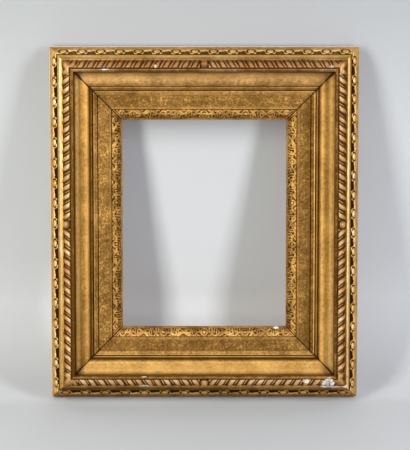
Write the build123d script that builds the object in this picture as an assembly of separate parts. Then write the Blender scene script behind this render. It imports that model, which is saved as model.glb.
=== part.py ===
from build123d import *
import os
from math import asin, cos, radians, sin

# An empty gilded picture frame: a half-lapped pine back frame, three nested mitred mouldings glued
# to its front (liner, cove and rim), pressed ornament strips on their seats, and the fittings on the
# back. Millimetres, +Z up, +X to the viewer's right, front towards -Y, wall plane at Y = 0.
# "Out" is measured away from the sight edge and "height" to the front, from the back frame's front.

# Picture and sight opening
PICTURE_WIDTH = 203.2
PICTURE_HEIGHT = 254.0
PICTURE_CLEARANCE = 1.5  # round the picture, in the rebate
SIGHT_LAP = 5.8  # how far the sight edge covers the picture

# Back frame
BACK_RECESS = 6.0  # room between the back frame and the wall, for the fittings
BACK_FRAME_THICKNESS = 12.0
BACK_FRAME_CLEARANCE = 0.2  # between the back frame and the rim's back lip

# Liner, from the sight edge out
LIP_DROP = 1.0  # the sight lip reaches behind the back frame's front
SIGHT_EDGE_HEIGHT = 0.6
SIGHT_SLOPE_RUN = 12.4
SIGHT_SLOPE_RISE = 4.8
SIGHT_FILLET_WIDTH = 2.6
SIGHT_FILLET_HEIGHT = 7.2
FRIEZE_WIDTH = 12.6
FRIEZE_INNER_HEIGHT = 6.6
FRIEZE_OUTER_HEIGHT = 7.4
GROOVE_WIDTH = 0.8
GROOVE_HEIGHT = 6.0
BAND_WIDTH = 4.6
BAND_INNER_HEIGHT = 7.9
BAND_OUTER_HEIGHT = 9.2
QUIRK_WIDTH = 0.9
QUIRK_HEIGHT = 6.2
LINER_BEAD_WIDTH = 2.7
LINER_BEAD_RISE = 1.9
LINER_EDGE_WIDTH = 1.1

# Cove: a rolled lip beside the liner, a face that falls gently, and a hollow up to the rim
COVE_WIDTH = 17.0
COVE_EDGE_HEIGHT = 6.4
COVE_ROLL_WIDTH = 6.3
COVE_ROLL_HEIGHT = 11.0
COVE_ROLL_BULGE = 1.49  # height of the roll above its chord
COVE_FACE_WIDTH = 5.0
COVE_FACE_FALL = 0.5
COVE_TOP_HEIGHT = 15.4
COVE_HOLLOW = 1.61  # depth of the hollow below its chord

# Rim, from its inner wall out
RIM_CREST_HEIGHT = 28.0
CREST_WIDTH = 2.9
CREST_STEP = 3.0
ROPE_SEAT_WIDTH = 15.0
ROPE_SEAT_TILT = 45.0
ASTRAGAL_GAP = 0.8
ASTRAGAL_WIDTH = 5.6
ASTRAGAL_FALL = 6.0
ASTRAGAL_BULGE = 2.0
ASTRAGAL_WALL = 4.0
RIBBON_SEAT_WIDTH = 15.0
RIBBON_SEAT_TILT = 52.0
LEDGE_WIDTH = 1.4
BACK_LIP_WIDTH = 14.0

# Mitres
OPEN_MITRE = 0.5  # cut back at each end of the cove, liner and leaf strips
CLOSED_MITRE = 0.0

# Ribbon and bead strip
ORNAMENT_MARGIN = 0.6  # seat left bare on each side of a strip
RIBBON_THICKNESS = 1.6
RIBBON_PITCH = {"top": 22.2, "right": 22.4, "bottom": 23.4, "left": 23.6}  # between beads, near this
NOTCH_LENGTH = 10.0
NOTCH_DEPTH = 4.3
NOTCH_SLOPE = 1.8
BEAD_RADIUS = 4.1
BEAD_RISE = 2.4
BEAD_SHIFT = 1.5  # from the ribbon's middle toward the astragal

# Rope strip
ROPE_BASE = 1.0
ROPE_BULGE = 3.6
ROPE_PITCH = 11.0
ROPE_SLANT = 30.0
ROPE_GROOVE_WIDTH = 1.2
ROPE_GROOVE_FLOOR = 0.7
ROPE_BUTTON_RADIUS = 4.8
ROPE_BUTTON_SIDE = 2.6
ROPE_BUTTON_DOME = 2.2
LEAF_LENGTH = 12.0
LEAF_BULGE = 4.2
ORNAMENT_JOINT = 0.2  # between neighbouring pieces of ornament

# Sight leaf strip
PLAIN_SIGHT_EDGE = 2.0
LEAF_STRIP_BASE = 1.0
LEAF_STRIP_PITCH = 48.0
RELIEF_HEIGHT = 1.4
RELIEF_SLOPE = 0.6  # its sides lean in by this from foot to top
TIE_LENGTH = 9.0
TIE_WIDTH = 1.8
TIE_ANGLE = 38.0
LEAF_LOBE_LENGTH = 17.0
LEAF_LOBE_WIDTH = 5.2
LEAF_LOBE_ANGLE = 14.0
BOSS_RADIUS = 2.2

# Nails and brads
NAIL_RADIUS = 1.0
NAIL_HEAD_RADIUS = 2.2
NAIL_HEAD_HEIGHT = 0.8
NAIL_LENGTH = 10.0
NAIL_INSET = 18.0  # from the sides of the corner lap
BRAD_RADIUS = 0.7
BRAD_PITCH = 48.0
BRAD_SINK = 0.6  # its head below the sight fillet
BRAD_GRIP = 5.0  # its length in the back frame
FASTENER_CLEARANCE = 0.05

# Turn buttons
TURN_BUTTON_LENGTH = 24.0
TURN_BUTTON_WIDTH = 9.0
TURN_BUTTON_THICKNESS = 1.2
TURN_BUTTON_INSET = 7.5  # pivot to the rebate wall
TURN_BUTTON_SPACING = 140.0  # between the two on an upright rail
TURN_BUTTON_LIFT = 0.1  # play under and over the button
PIVOT_RADIUS = 2.0
PIVOT_CLEARANCE = 0.05
PIVOT_GRIP = 5.5
PIVOT_HEAD_RADIUS = 3.8
PIVOT_HEAD_HEIGHT = 2.0
DRIVER_SLOT_WIDTH = 0.8
DRIVER_SLOT_DEPTH = 0.6

# Hangers
HANGER_HEIGHT = 60.0  # ring axis above the middle of the frame
STRAP_WIDTH = 12.0
STRAP_LENGTH = 28.0
STRAP_THICKNESS = 1.0
STRAP_CORNER = 3.0
KNUCKLE_WALL = 1.0
RING_WIRE_RADIUS = 1.25
RING_CLEARANCE = 0.05
RING_LIFT = 2.6  # ring axis off the back frame
RING_WIDTH = 18.0  # between the middles of its legs
RING_LEG = 6.0
RING_CORNER = 2.5
STRAP_SCREW_RADIUS = 1.5
STRAP_SCREW_HEAD = 3.0
STRAP_SCREW_GRIP = 8.0
STRAP_SCREW_FIRST = 8.0  # below the ring axis
STRAP_SCREW_SECOND = 22.0

# Worked out from the sizes above
SIGHT_HALF_WIDTH = PICTURE_WIDTH / 2 - SIGHT_LAP
SIGHT_HALF_HEIGHT = PICTURE_HEIGHT / 2 - SIGHT_LAP
REBATE_OUT = SIGHT_LAP + PICTURE_CLEARANCE
SEAT_FRONT = BACK_RECESS + BACK_FRAME_THICKNESS

FILLET_OUT = SIGHT_SLOPE_RUN
FRIEZE_OUT = FILLET_OUT + SIGHT_FILLET_WIDTH
GROOVE_OUT = FRIEZE_OUT + FRIEZE_WIDTH
BAND_OUT = GROOVE_OUT + GROOVE_WIDTH
QUIRK_OUT = BAND_OUT + BAND_WIDTH
LINER_BEAD_OUT = QUIRK_OUT + QUIRK_WIDTH
LINER_EDGE_OUT = LINER_BEAD_OUT + LINER_BEAD_WIDTH
LINER_WIDTH = LINER_EDGE_OUT + LINER_EDGE_WIDTH

ROPE_RUN = ROPE_SEAT_WIDTH * cos(radians(ROPE_SEAT_TILT))
ROPE_FALL = ROPE_SEAT_WIDTH * sin(radians(ROPE_SEAT_TILT))
RIBBON_RUN = RIBBON_SEAT_WIDTH * cos(radians(RIBBON_SEAT_TILT))
RIBBON_FALL = RIBBON_SEAT_WIDTH * sin(radians(RIBBON_SEAT_TILT))
RIM_INNER = LINER_WIDTH + COVE_WIDTH
ROPE_OUT = RIM_INNER + CREST_WIDTH
ROPE_HEIGHT = RIM_CREST_HEIGHT - CREST_STEP
ASTRAGAL_OUT = ROPE_OUT + ROPE_RUN + ASTRAGAL_GAP
ASTRAGAL_HEIGHT = ROPE_HEIGHT - ROPE_FALL
RIBBON_OUT = ASTRAGAL_OUT + ASTRAGAL_WIDTH
RIBBON_HEIGHT = ASTRAGAL_HEIGHT - ASTRAGAL_FALL - ASTRAGAL_WALL
LEDGE_OUT = RIBBON_OUT + RIBBON_RUN
LEDGE_HEIGHT = RIBBON_HEIGHT - RIBBON_FALL
RIM_OUTER = LEDGE_OUT + LEDGE_WIDTH
BACK_LIP_OUT = RIM_OUTER - BACK_LIP_WIDTH
FRAME_DEPTH = SEAT_FRONT + RIM_CREST_HEIGHT

BACK_FRAME_OUT = BACK_LIP_OUT - BACK_FRAME_CLEARANCE
LAP_WIDTH = BACK_FRAME_OUT - REBATE_OUT
LAP_HEIGHT = BACK_FRAME_THICKNESS / 2
ROPE_STRIP_WIDTH = ROPE_SEAT_WIDTH - 2 * ORNAMENT_MARGIN
RIBBON_STRIP_WIDTH = RIBBON_SEAT_WIDTH - 2 * ORNAMENT_MARGIN
TURN_BUTTON_OUT = REBATE_OUT + TURN_BUTTON_INSET
HANGER_OUT = (REBATE_OUT + BACK_FRAME_OUT) / 2
BRAD_OUT = FILLET_OUT + SIGHT_FILLET_WIDTH / 2

# Each side is made as a top rail and turned about the frame's middle
SIDES = {"top": 0, "right": 90, "bottom": 180, "left": 270}


def half_sizes(side):
    """Half the sight length along a rail, and the sight edge's distance from the middle."""
    if side in ("left", "right"):
        return SIGHT_HALF_HEIGHT, SIGHT_HALF_WIDTH
    return SIGHT_HALF_WIDTH, SIGHT_HALF_HEIGHT


def turned(side, shape):
    """A shape made on the top rail, turned to its own side."""
    return shape.rotate(Axis.Y, SIDES[side])


def save(node, shape):
    """Writes one sub-part."""
    os.makedirs("parts", exist_ok=True)
    shape.label = node
    export_step(shape, f"parts/{node}.step")


def section_plane(middle):
    """A top rail's section: local x runs out from the sight edge, local y to the front."""
    return Plane(origin=(0, -SEAT_FRONT, middle), x_dir=(0, 0, 1), z_dir=(1, 0, 0))


def seat_plane(middle, out, height, tilt):
    """A seat on a top rail: local x along the rail, local y down the slope, local z off the seat."""
    lean = radians(tilt)
    origin = (0, -SEAT_FRONT - height, middle + out)
    return Plane(origin=origin, x_dir=(1, 0, 0), z_dir=(0, -cos(lean), sin(lean)))


def back_plane(along, up):
    """The back frame's back face: local x to the right, local y down, local z towards the wall."""
    return Plane(origin=(along, -BACK_RECESS, up), x_dir=(1, 0, 0), z_dir=(0, 1, 0))


def between_mitres(side, inner, outer, cut):
    """The space between a top rail's two mitres, cut back by the same length at each end."""
    half, middle = half_sizes(side)
    corners = [
        (half + inner - cut, middle + inner),
        (half + outer - cut, middle + outer),
        (-half - outer + cut, middle + outer),
        (-half - inner + cut, middle + inner),
    ]
    return extrude(Plane.XZ * Polygon(*corners, align=None), amount=2 * FRAME_DEPTH, both=True)


def mitred_rail(side, section, inner, outer, cut):
    """A rail of one section with mitred ends."""
    half, middle = half_sizes(side)
    bar = extrude(section_plane(middle) * section, amount=half + outer, both=True)
    return bar & between_mitres(side, inner, outer, cut)


def dome_arc(radius, base, rise):
    """A round dome's outline, from its rim to its top on the axis."""
    sphere = (radius**2 + rise**2) / (2 * rise)
    half_turn = asin(radius / sphere) / 2
    between = (sphere * sin(half_turn), base + rise - sphere * (1 - cos(half_turn)))
    return ThreePointArc((radius, base), between, (0, base + rise))


def domed_disc(radius, side, rise):
    """A round disc with straight sides and a domed top, standing on local z = 0."""
    dome = dome_arc(radius, side, rise)
    corners = [dome @ 1, (0, 0), (radius, 0)]
    if side:
        corners.append(dome @ 0)
    return revolve(Plane.XZ * make_face(Polyline(*corners) + dome), Axis.Z)


# Liner
def liner_section():
    slope_top = SIGHT_EDGE_HEIGHT + SIGHT_SLOPE_RISE
    bead_start = (LINER_BEAD_OUT, QUIRK_HEIGHT)
    bead_end = (LINER_EDGE_OUT, QUIRK_HEIGHT)
    bead_top = (LINER_BEAD_OUT + LINER_BEAD_WIDTH / 2, QUIRK_HEIGHT + LINER_BEAD_RISE)
    outline = Polyline(
        bead_end,
        (LINER_WIDTH, QUIRK_HEIGHT),
        (LINER_WIDTH, 0),
        (REBATE_OUT, 0),
        (REBATE_OUT, -LIP_DROP),
        (0, -LIP_DROP),
        (0, SIGHT_EDGE_HEIGHT),
        (FILLET_OUT, slope_top),
        (FILLET_OUT, SIGHT_FILLET_HEIGHT),
        (FRIEZE_OUT, SIGHT_FILLET_HEIGHT),
        (FRIEZE_OUT, FRIEZE_INNER_HEIGHT),
        (GROOVE_OUT, FRIEZE_OUTER_HEIGHT),
        (GROOVE_OUT, GROOVE_HEIGHT),
        (BAND_OUT, GROOVE_HEIGHT),
        (BAND_OUT, BAND_INNER_HEIGHT),
        (QUIRK_OUT, BAND_OUTER_HEIGHT),
        (QUIRK_OUT, QUIRK_HEIGHT),
        bead_start,
    )
    return make_face(outline + ThreePointArc(bead_start, bead_top, bead_end))


def brad_places(half):
    """Places along a rail, even about its middle and clear of its mitres."""
    pairs = int(half / BRAD_PITCH + 0.25)
    return [sign * (i + 0.5) * BRAD_PITCH for i in range(pairs) for sign in (-1, 1)]


def brads(side, radius, sink, grip):
    """The brads of one top rail, or with a larger radius and no sink, their holes."""
    half, middle = half_sizes(side)
    length = SIGHT_FILLET_HEIGHT - sink + grip
    front = -SEAT_FRONT - SIGHT_FILLET_HEIGHT + sink + length / 2
    brad = Rot(90, 0, 0) * Cylinder(radius, length)
    return [Pos(place, front, middle + BRAD_OUT) * brad for place in brad_places(half)]


def brad_holes(side):
    return brads(side, BRAD_RADIUS + FASTENER_CLEARANCE, 0, BRAD_GRIP + FASTENER_CLEARANCE)


def liner_rail(side):
    return mitred_rail(side, liner_section(), 0, LINER_WIDTH, OPEN_MITRE) - brad_holes(side)


# Cove
def cove_section():
    edge = (LINER_WIDTH, COVE_EDGE_HEIGHT)
    roll = (LINER_WIDTH + COVE_ROLL_WIDTH, COVE_ROLL_HEIGHT)
    foot = (roll[0] + COVE_FACE_WIDTH, COVE_ROLL_HEIGHT - COVE_FACE_FALL)
    top = (RIM_INNER, COVE_TOP_HEIGHT)
    outline = Polyline(top, (RIM_INNER, 0), (LINER_WIDTH, 0), edge)
    outline += hollow_arc(edge, roll, -COVE_ROLL_BULGE)
    outline += Line(roll, foot)
    return make_face(outline + hollow_arc(foot, top, COVE_HOLLOW))


def hollow_arc(start, end, depth):
    """An arc that sinks the given depth below its chord, for points that run outwards."""
    chord = Vector(*end) - Vector(*start)
    sideways = Vector(chord.Y, -chord.X).normalized()
    middle = (Vector(*start) + Vector(*end)) / 2 + sideways * depth
    return ThreePointArc(start, (middle.X, middle.Y), end)


def cove_rail(side):
    return mitred_rail(side, cove_section(), LINER_WIDTH, RIM_INNER, OPEN_MITRE)


# Rim
def rim_section():
    wall = -SEAT_FRONT
    round_start = (ASTRAGAL_OUT, ASTRAGAL_HEIGHT)
    round_end = (RIBBON_OUT, ASTRAGAL_HEIGHT - ASTRAGAL_FALL)
    outline = Polyline(
        round_end,
        (RIBBON_OUT, RIBBON_HEIGHT),
        (LEDGE_OUT, LEDGE_HEIGHT),
        (RIM_OUTER, LEDGE_HEIGHT),
        (RIM_OUTER, wall),
        (BACK_LIP_OUT, wall),
        (BACK_LIP_OUT, 0),
        (RIM_INNER, 0),
        (RIM_INNER, RIM_CREST_HEIGHT),
        (ROPE_OUT, RIM_CREST_HEIGHT),
        (ROPE_OUT, ROPE_HEIGHT),
        (ROPE_OUT + ROPE_RUN, ASTRAGAL_HEIGHT),
        round_start,
    )
    return make_face(outline + hollow_arc(round_start, round_end, -ASTRAGAL_BULGE))


def rim_rail(side):
    return mitred_rail(side, rim_section(), RIM_INNER, RIM_OUTER, CLOSED_MITRE)


# Back frame
def back_frame_rail(side):
    """A flat rail with half its thickness left at each end, for the corner laps."""
    half, middle = half_sizes(side)
    reach = half + BACK_FRAME_OUT
    upright = side in ("left", "right")
    centre = (0, -SEAT_FRONT + BACK_FRAME_THICKNESS / 2, middle + REBATE_OUT + LAP_WIDTH / 2)
    bar = Pos(*centre) * Box(2 * reach, BACK_FRAME_THICKNESS, LAP_WIDTH)
    lap_back = -BACK_RECESS - LAP_HEIGHT / 2
    lap_front = -SEAT_FRONT + LAP_HEIGHT / 2
    lap_centre = half + REBATE_OUT + LAP_WIDTH / 2
    cuts = brad_holes(side)
    for end in (-1, 1):
        place = (end * lap_centre, lap_front if upright else lap_back, centre[2])
        cuts.append(Pos(*place) * Box(LAP_WIDTH, LAP_HEIGHT, LAP_WIDTH))
    holes = lap_nails(NAIL_RADIUS + FASTENER_CLEARANCE)
    holes += [back_plane(*place) * turn_screw_hole() for place in turn_button_places().values()]
    holes += [back_plane(*place) * strap_screw_holes() for place in hanger_places().values()]
    return turned(side, bar - cuts) - holes


def lap_nails(radius, head_radius=0.0):
    """Two nails in each corner lap, or with no head, their holes."""
    nails = []
    near = REBATE_OUT + NAIL_INSET
    far = BACK_FRAME_OUT - NAIL_INSET
    for across, up in ((-1, -1), (-1, 1), (1, -1), (1, 1)):
        for out_x, out_z in ((near, far), (far, near)):
            place = back_plane(across * (SIGHT_HALF_WIDTH + out_x), up * (SIGHT_HALF_HEIGHT + out_z))
            nail = Pos(0, 0, -NAIL_LENGTH / 2) * Cylinder(radius, NAIL_LENGTH)
            if head_radius:
                nail += Pos(0, 0, NAIL_HEAD_HEIGHT / 2) * Cylinder(head_radius, NAIL_HEAD_HEIGHT)
            nails.append(place * nail)
    return nails


# Ribbon and bead
def ribbon_strip(side):
    """A ribbon with a row of beads, notched between them along the astragal, made on the top rail."""
    half, middle = half_sizes(side)
    centre_out = RIBBON_OUT + RIBBON_RUN / 2
    seat = seat_plane(middle, centre_out, RIBBON_HEIGHT - RIBBON_FALL / 2, RIBBON_SEAT_TILT)
    length = 2 * (half + centre_out)
    count = round(length / RIBBON_PITCH[side])
    pitch = length / count
    wide = RIBBON_STRIP_WIDTH / 2
    reach = half + RIM_OUTER
    edge = [(-reach, wide), (-reach, -wide)]
    for i in range(1, count):
        notch = -length / 2 + i * pitch
        edge.append((notch - NOTCH_LENGTH / 2, -wide))
        edge.append((notch - NOTCH_LENGTH / 2 + NOTCH_SLOPE, NOTCH_DEPTH - wide))
        edge.append((notch + NOTCH_LENGTH / 2 - NOTCH_SLOPE, NOTCH_DEPTH - wide))
        edge.append((notch + NOTCH_LENGTH / 2, -wide))
    edge += [(reach, -wide), (reach, wide)]
    strip = extrude(Polygon(*edge, align=None), amount=RIBBON_THICKNESS)
    bead = domed_disc(BEAD_RADIUS, 0, BEAD_RISE)
    places = [Pos(-length / 2 + (i + 0.5) * pitch, -BEAD_SHIFT, RIBBON_THICKNESS) for i in range(count)]
    strip += [place * bead for place in places]
    return (seat * strip) & between_mitres(side, RIM_INNER, RIM_OUTER, CLOSED_MITRE)


# Rope, its centre buttons and its corner leaves
def rope_seat(middle):
    centre_out = ROPE_OUT + ROPE_RUN / 2
    return seat_plane(middle, centre_out, ROPE_HEIGHT - ROPE_FALL / 2, ROPE_SEAT_TILT)


def rope_end(half):
    """Where the rope stops and the corner leaf starts, along the rail from its middle."""
    return half + ROPE_OUT + ROPE_RUN / 2 - LEAF_LENGTH


def half_round(bulge, start, end):
    """A bar of the rope's section, along local x."""
    edge = ROPE_STRIP_WIDTH / 2
    outline = Polyline((edge, ROPE_BASE), (edge, 0), (-edge, 0), (-edge, ROPE_BASE))
    outline += ThreePointArc((-edge, ROPE_BASE), (0, ROPE_BASE + bulge), (edge, ROPE_BASE))
    return extrude(Plane.YZ.offset(start) * make_face(outline), amount=end - start)


def rope_strip(side, hand):
    """Half a side's rope, with grooves that slant away from the middle. hand is 1 or -1."""
    half, middle = half_sizes(side)
    start = ROPE_BUTTON_RADIUS + ORNAMENT_JOINT
    end = rope_end(half) - ORNAMENT_JOINT
    bar = half_round(ROPE_BULGE, *sorted((hand * start, hand * end)))
    count = round((end - start) / ROPE_PITCH)
    pitch = (end - start) / count
    tall = ROPE_BASE + ROPE_BULGE
    cutter = Pos(0, 0, ROPE_GROOVE_FLOOR + tall / 2) * Box(
        ROPE_GROOVE_WIDTH, 2 * ROPE_STRIP_WIDTH, tall
    )
    slanted = Rot(0, 0, hand * ROPE_SLANT) * cutter
    bar -= [Pos(hand * (start + i * pitch), 0, 0) * slanted for i in range(1, count)]
    return rope_seat(middle) * bar


def rope_button(side):
    """A domed button at the middle of a side, where the two hands of the rope meet."""
    middle = half_sizes(side)[1]
    return rope_seat(middle) * domed_disc(ROPE_BUTTON_RADIUS, ROPE_BUTTON_SIDE, ROPE_BUTTON_DOME)


def corner_leaf(side, next_side):
    """A plain leaf bent round a rope corner: the right end of one side and the left end of the next."""
    arms = []
    for arm_side, end in ((side, 1), (next_side, -1)):
        half, middle = half_sizes(arm_side)
        start = rope_end(half)
        bar = half_round(LEAF_BULGE, start, half + RIM_OUTER)
        if end < 0:
            bar = mirror(bar, Plane.YZ)
        arm = (rope_seat(middle) * bar) & between_mitres(arm_side, RIM_INNER, RIM_OUTER, CLOSED_MITRE)
        arms.append(turned(arm_side, arm))
    return arms[0] + arms[1]


# Sight leaf
def leaf_lobe(half_length, half_width):
    """An oval lobe with leaning sides."""
    top = Ellipse(half_length - RELIEF_SLOPE, half_width - RELIEF_SLOPE)
    return loft([Ellipse(half_length, half_width), Pos(0, 0, RELIEF_HEIGHT) * top], ruled=True)


def leaf_strip(side):
    """Low leaves, crossed ties and bosses on the sight slope, with a plain edge left beside the sight."""
    half, middle = half_sizes(side)
    tilt = Vector(SIGHT_SLOPE_RUN, SIGHT_SLOPE_RISE).get_angle(Vector(1, 0))
    lean = cos(radians(tilt))
    inner = PLAIN_SIGHT_EDGE / lean
    outer = SIGHT_SLOPE_RUN / lean - ORNAMENT_MARGIN
    seat = seat_plane(middle, 0, SIGHT_EDGE_HEIGHT, -tilt)
    width = outer - inner
    reach = half + SIGHT_SLOPE_RUN
    strip = Box(2 * reach, width, LEAF_STRIP_BASE, align=(Align.CENTER, Align.CENTER, Align.MIN))
    tie = Pos(0, 0, RELIEF_HEIGHT / 2) * Box(TIE_LENGTH, TIE_WIDTH, RELIEF_HEIGHT)
    lobe = leaf_lobe(LEAF_LOBE_LENGTH / 2, LEAF_LOBE_WIDTH / 2)
    boss = domed_disc(BOSS_RADIUS, 0, RELIEF_HEIGHT)
    count = round(2 * half / LEAF_STRIP_PITCH)
    pitch = 2 * half / count
    relief = []
    for i in range(count):
        place = Pos(-half + (i + 0.5) * pitch, 0, LEAF_STRIP_BASE)
        relief += [place * Rot(0, 0, angle) * tie for angle in (TIE_ANGLE, -TIE_ANGLE)]
        for hand in (-1, 1):
            relief.append(place * Pos(hand * pitch / 4, 0, 0) * Rot(0, 0, hand * LEAF_LOBE_ANGLE) * lobe)
        relief.append(Pos(-half + i * pitch, 0, LEAF_STRIP_BASE) * boss)
    strip = seat * Pos(0, (inner + outer) / 2, 0) * (strip + relief)
    return strip & between_mitres(side, 0, LINER_WIDTH, OPEN_MITRE)


# Turn buttons
def turn_button_places():
    """Each button's pivot on the back: one in the middle of top and bottom, two on each upright."""
    side_x = SIGHT_HALF_WIDTH + TURN_BUTTON_OUT
    top_z = SIGHT_HALF_HEIGHT + TURN_BUTTON_OUT
    high = TURN_BUTTON_SPACING / 2
    return {
        "top": (0, top_z),
        "bottom": (0, -top_z),
        "upper_left": (-side_x, high),
        "lower_left": (-side_x, -high),
        "upper_right": (side_x, high),
        "lower_right": (side_x, -high),
    }


def turn_button(name):
    """A slotted-oval plate, parked along its rail."""
    plate = SlotOverall(TURN_BUTTON_LENGTH, TURN_BUTTON_WIDTH) - Circle(PIVOT_RADIUS + PIVOT_CLEARANCE)
    solid = Pos(0, 0, TURN_BUTTON_LIFT) * extrude(plate, amount=TURN_BUTTON_THICKNESS)
    if name not in ("top", "bottom"):
        solid = Rot(0, 0, 90) * solid
    return back_plane(*turn_button_places()[name]) * solid


def turn_screw():
    """A round-headed screw: its shank in the wood, its neck through the button, its head over it."""
    head_seat = TURN_BUTTON_THICKNESS + 2 * TURN_BUTTON_LIFT
    dome = dome_arc(PIVOT_HEAD_RADIUS, head_seat, PIVOT_HEAD_HEIGHT)
    outline = Polyline(
        dome @ 1, (0, -PIVOT_GRIP), (PIVOT_RADIUS, -PIVOT_GRIP), (PIVOT_RADIUS, head_seat), dome @ 0
    )
    screw = revolve(Plane.XZ * make_face(outline + dome), Axis.Z)
    slot_floor = head_seat + PIVOT_HEAD_HEIGHT - DRIVER_SLOT_DEPTH
    slot = Box(2 * PIVOT_HEAD_RADIUS, DRIVER_SLOT_WIDTH, 2 * DRIVER_SLOT_DEPTH)
    return screw - Pos(0, 0, slot_floor + DRIVER_SLOT_DEPTH) * slot


def turn_screw_hole():
    return Pos(0, 0, -PIVOT_GRIP / 2) * Cylinder(PIVOT_RADIUS + FASTENER_CLEARANCE, PIVOT_GRIP)


# Hangers
def hanger_places():
    """Each hanger's ring axis on the back."""
    across = SIGHT_HALF_WIDTH + HANGER_OUT
    return {"left": (-across, HANGER_HEIGHT), "right": (across, HANGER_HEIGHT)}


def strap_screw_places():
    return [(0, STRAP_SCREW_FIRST), (0, STRAP_SCREW_SECOND)]


def hanger_strap(name):
    """A strap screwed to the back, rolled round the ring's bar at its upper end."""
    bore = RING_WIRE_RADIUS + RING_CLEARANCE
    plate = Pos(0, STRAP_LENGTH / 2) * Rectangle(STRAP_WIDTH, STRAP_LENGTH)
    lower_corners = plate.vertices().sort_by(Axis.Y)[-2:]
    strap = extrude(fillet(lower_corners, STRAP_CORNER), amount=STRAP_THICKNESS)
    roll = Rot(0, 90, 0) * Cylinder(bore + KNUCKLE_WALL, STRAP_WIDTH)
    strap += Pos(0, 0, RING_LIFT) * roll
    strap -= Pos(0, 0, RING_LIFT) * Rot(0, 90, 0) * Cylinder(bore, STRAP_WIDTH)
    head = STRAP_SCREW_HEAD + FASTENER_CLEARANCE
    shank = STRAP_SCREW_RADIUS + FASTENER_CLEARANCE
    sink = Pos(0, 0, STRAP_THICKNESS / 2) * Cone(shank, head, STRAP_THICKNESS)
    strap -= [Pos(x, y, 0) * sink for x, y in strap_screw_places()]
    return back_plane(*hanger_places()[name]) * strap


def strap_screw():
    """A flat-headed screw, flush with the strap."""
    screw = Pos(0, 0, STRAP_THICKNESS / 2) * Cone(STRAP_SCREW_RADIUS, STRAP_SCREW_HEAD, STRAP_THICKNESS)
    screw += Pos(0, 0, -STRAP_SCREW_GRIP / 2) * Cylinder(STRAP_SCREW_RADIUS, STRAP_SCREW_GRIP)
    slot = Box(2 * STRAP_SCREW_HEAD, DRIVER_SLOT_WIDTH, 2 * DRIVER_SLOT_DEPTH)
    return screw - Pos(0, 0, STRAP_THICKNESS) * slot


def strap_screw_holes():
    hole = Pos(0, 0, -STRAP_SCREW_GRIP / 2) * Cylinder(
        STRAP_SCREW_RADIUS + FASTENER_CLEARANCE, STRAP_SCREW_GRIP
    )
    return Compound([Pos(x, y, 0) * hole for x, y in strap_screw_places()])


def hanger_ring(name):
    """A D-shaped wire ring with its bar in the strap's roll, hanging down."""
    side = RING_WIDTH / 2
    bar = RING_CORNER
    turn = RING_CORNER * (1 - cos(radians(45)))
    path = Line((-side + bar, 0), (side - bar, 0))
    path += ThreePointArc((side - bar, 0), (side - turn, turn), (side, bar))
    path += Line((side, bar), (side, RING_LEG))
    path += ThreePointArc((side, RING_LEG), (0, RING_LEG + side), (-side, RING_LEG))
    path += Line((-side, RING_LEG), (-side, bar))
    path += ThreePointArc((-side, bar), (-side + turn, turn), (-side + bar, 0))
    wire_section = Plane(origin=(0, 0, 0), x_dir=(0, 1, 0), z_dir=(1, 0, 0)) * Circle(RING_WIRE_RADIUS)
    ring = sweep(wire_section, path=path)
    return back_plane(*hanger_places()[name]) * Pos(0, 0, RING_LIFT) * ring


# The three mitred mouldings, their ornament and the back frame
for pair in (("top", "bottom"), ("right", "left")):
    like = pair[0]
    pieces = {
        "liner_{}": liner_rail(like),
        "cove_{}": cove_rail(like),
        "rim_{}": rim_rail(like),
        "leaf_strip_{}": leaf_strip(like),
        "rope_{}_a": rope_strip(like, -1),
        "rope_{}_b": rope_strip(like, 1),
        "rope_button_{}": rope_button(like),
    }
    for side in pair:
        save(f"back_frame_{side}", back_frame_rail(side))
        save(f"ribbon_{side}", turned(side, ribbon_strip(side)))
        for name, piece in pieces.items():
            save(name.format(side), turned(side, piece))
save("rope_leaf_top_right", corner_leaf("top", "right"))
save("rope_leaf_bottom_right", corner_leaf("right", "bottom"))
save("rope_leaf_bottom_left", corner_leaf("bottom", "left"))
save("rope_leaf_top_left", corner_leaf("left", "top"))

# Nails and brads, each kind as one group of solids
save("lap_nails", Compound(lap_nails(NAIL_RADIUS, NAIL_HEAD_RADIUS)))
all_brads = [turned(side, brad) for side in SIDES for brad in brads(side, BRAD_RADIUS, BRAD_SINK, BRAD_GRIP)]
save("liner_brads", Compound(all_brads))

# Fittings on the back
for name in turn_button_places():
    save(f"turn_button_{name}", turn_button(name))
turn_screws = [back_plane(*place) * turn_screw() for place in turn_button_places().values()]
save("turn_button_screws", Compound(turn_screws))
for name in hanger_places():
    save(f"hanger_strap_{name}", hanger_strap(name))
    save(f"hanger_ring_{name}", hanger_ring(name))
strap_screws = [
    back_plane(*place) * Pos(x, y, 0) * strap_screw()
    for place in hanger_places().values()
    for x, y in strap_screw_places()
]
save("hanger_screws", Compound(strap_screws))
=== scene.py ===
"""Looks of an empty gilded picture frame: worn mouldings, pressed ornament, old gilding and fittings."""

import math

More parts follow.
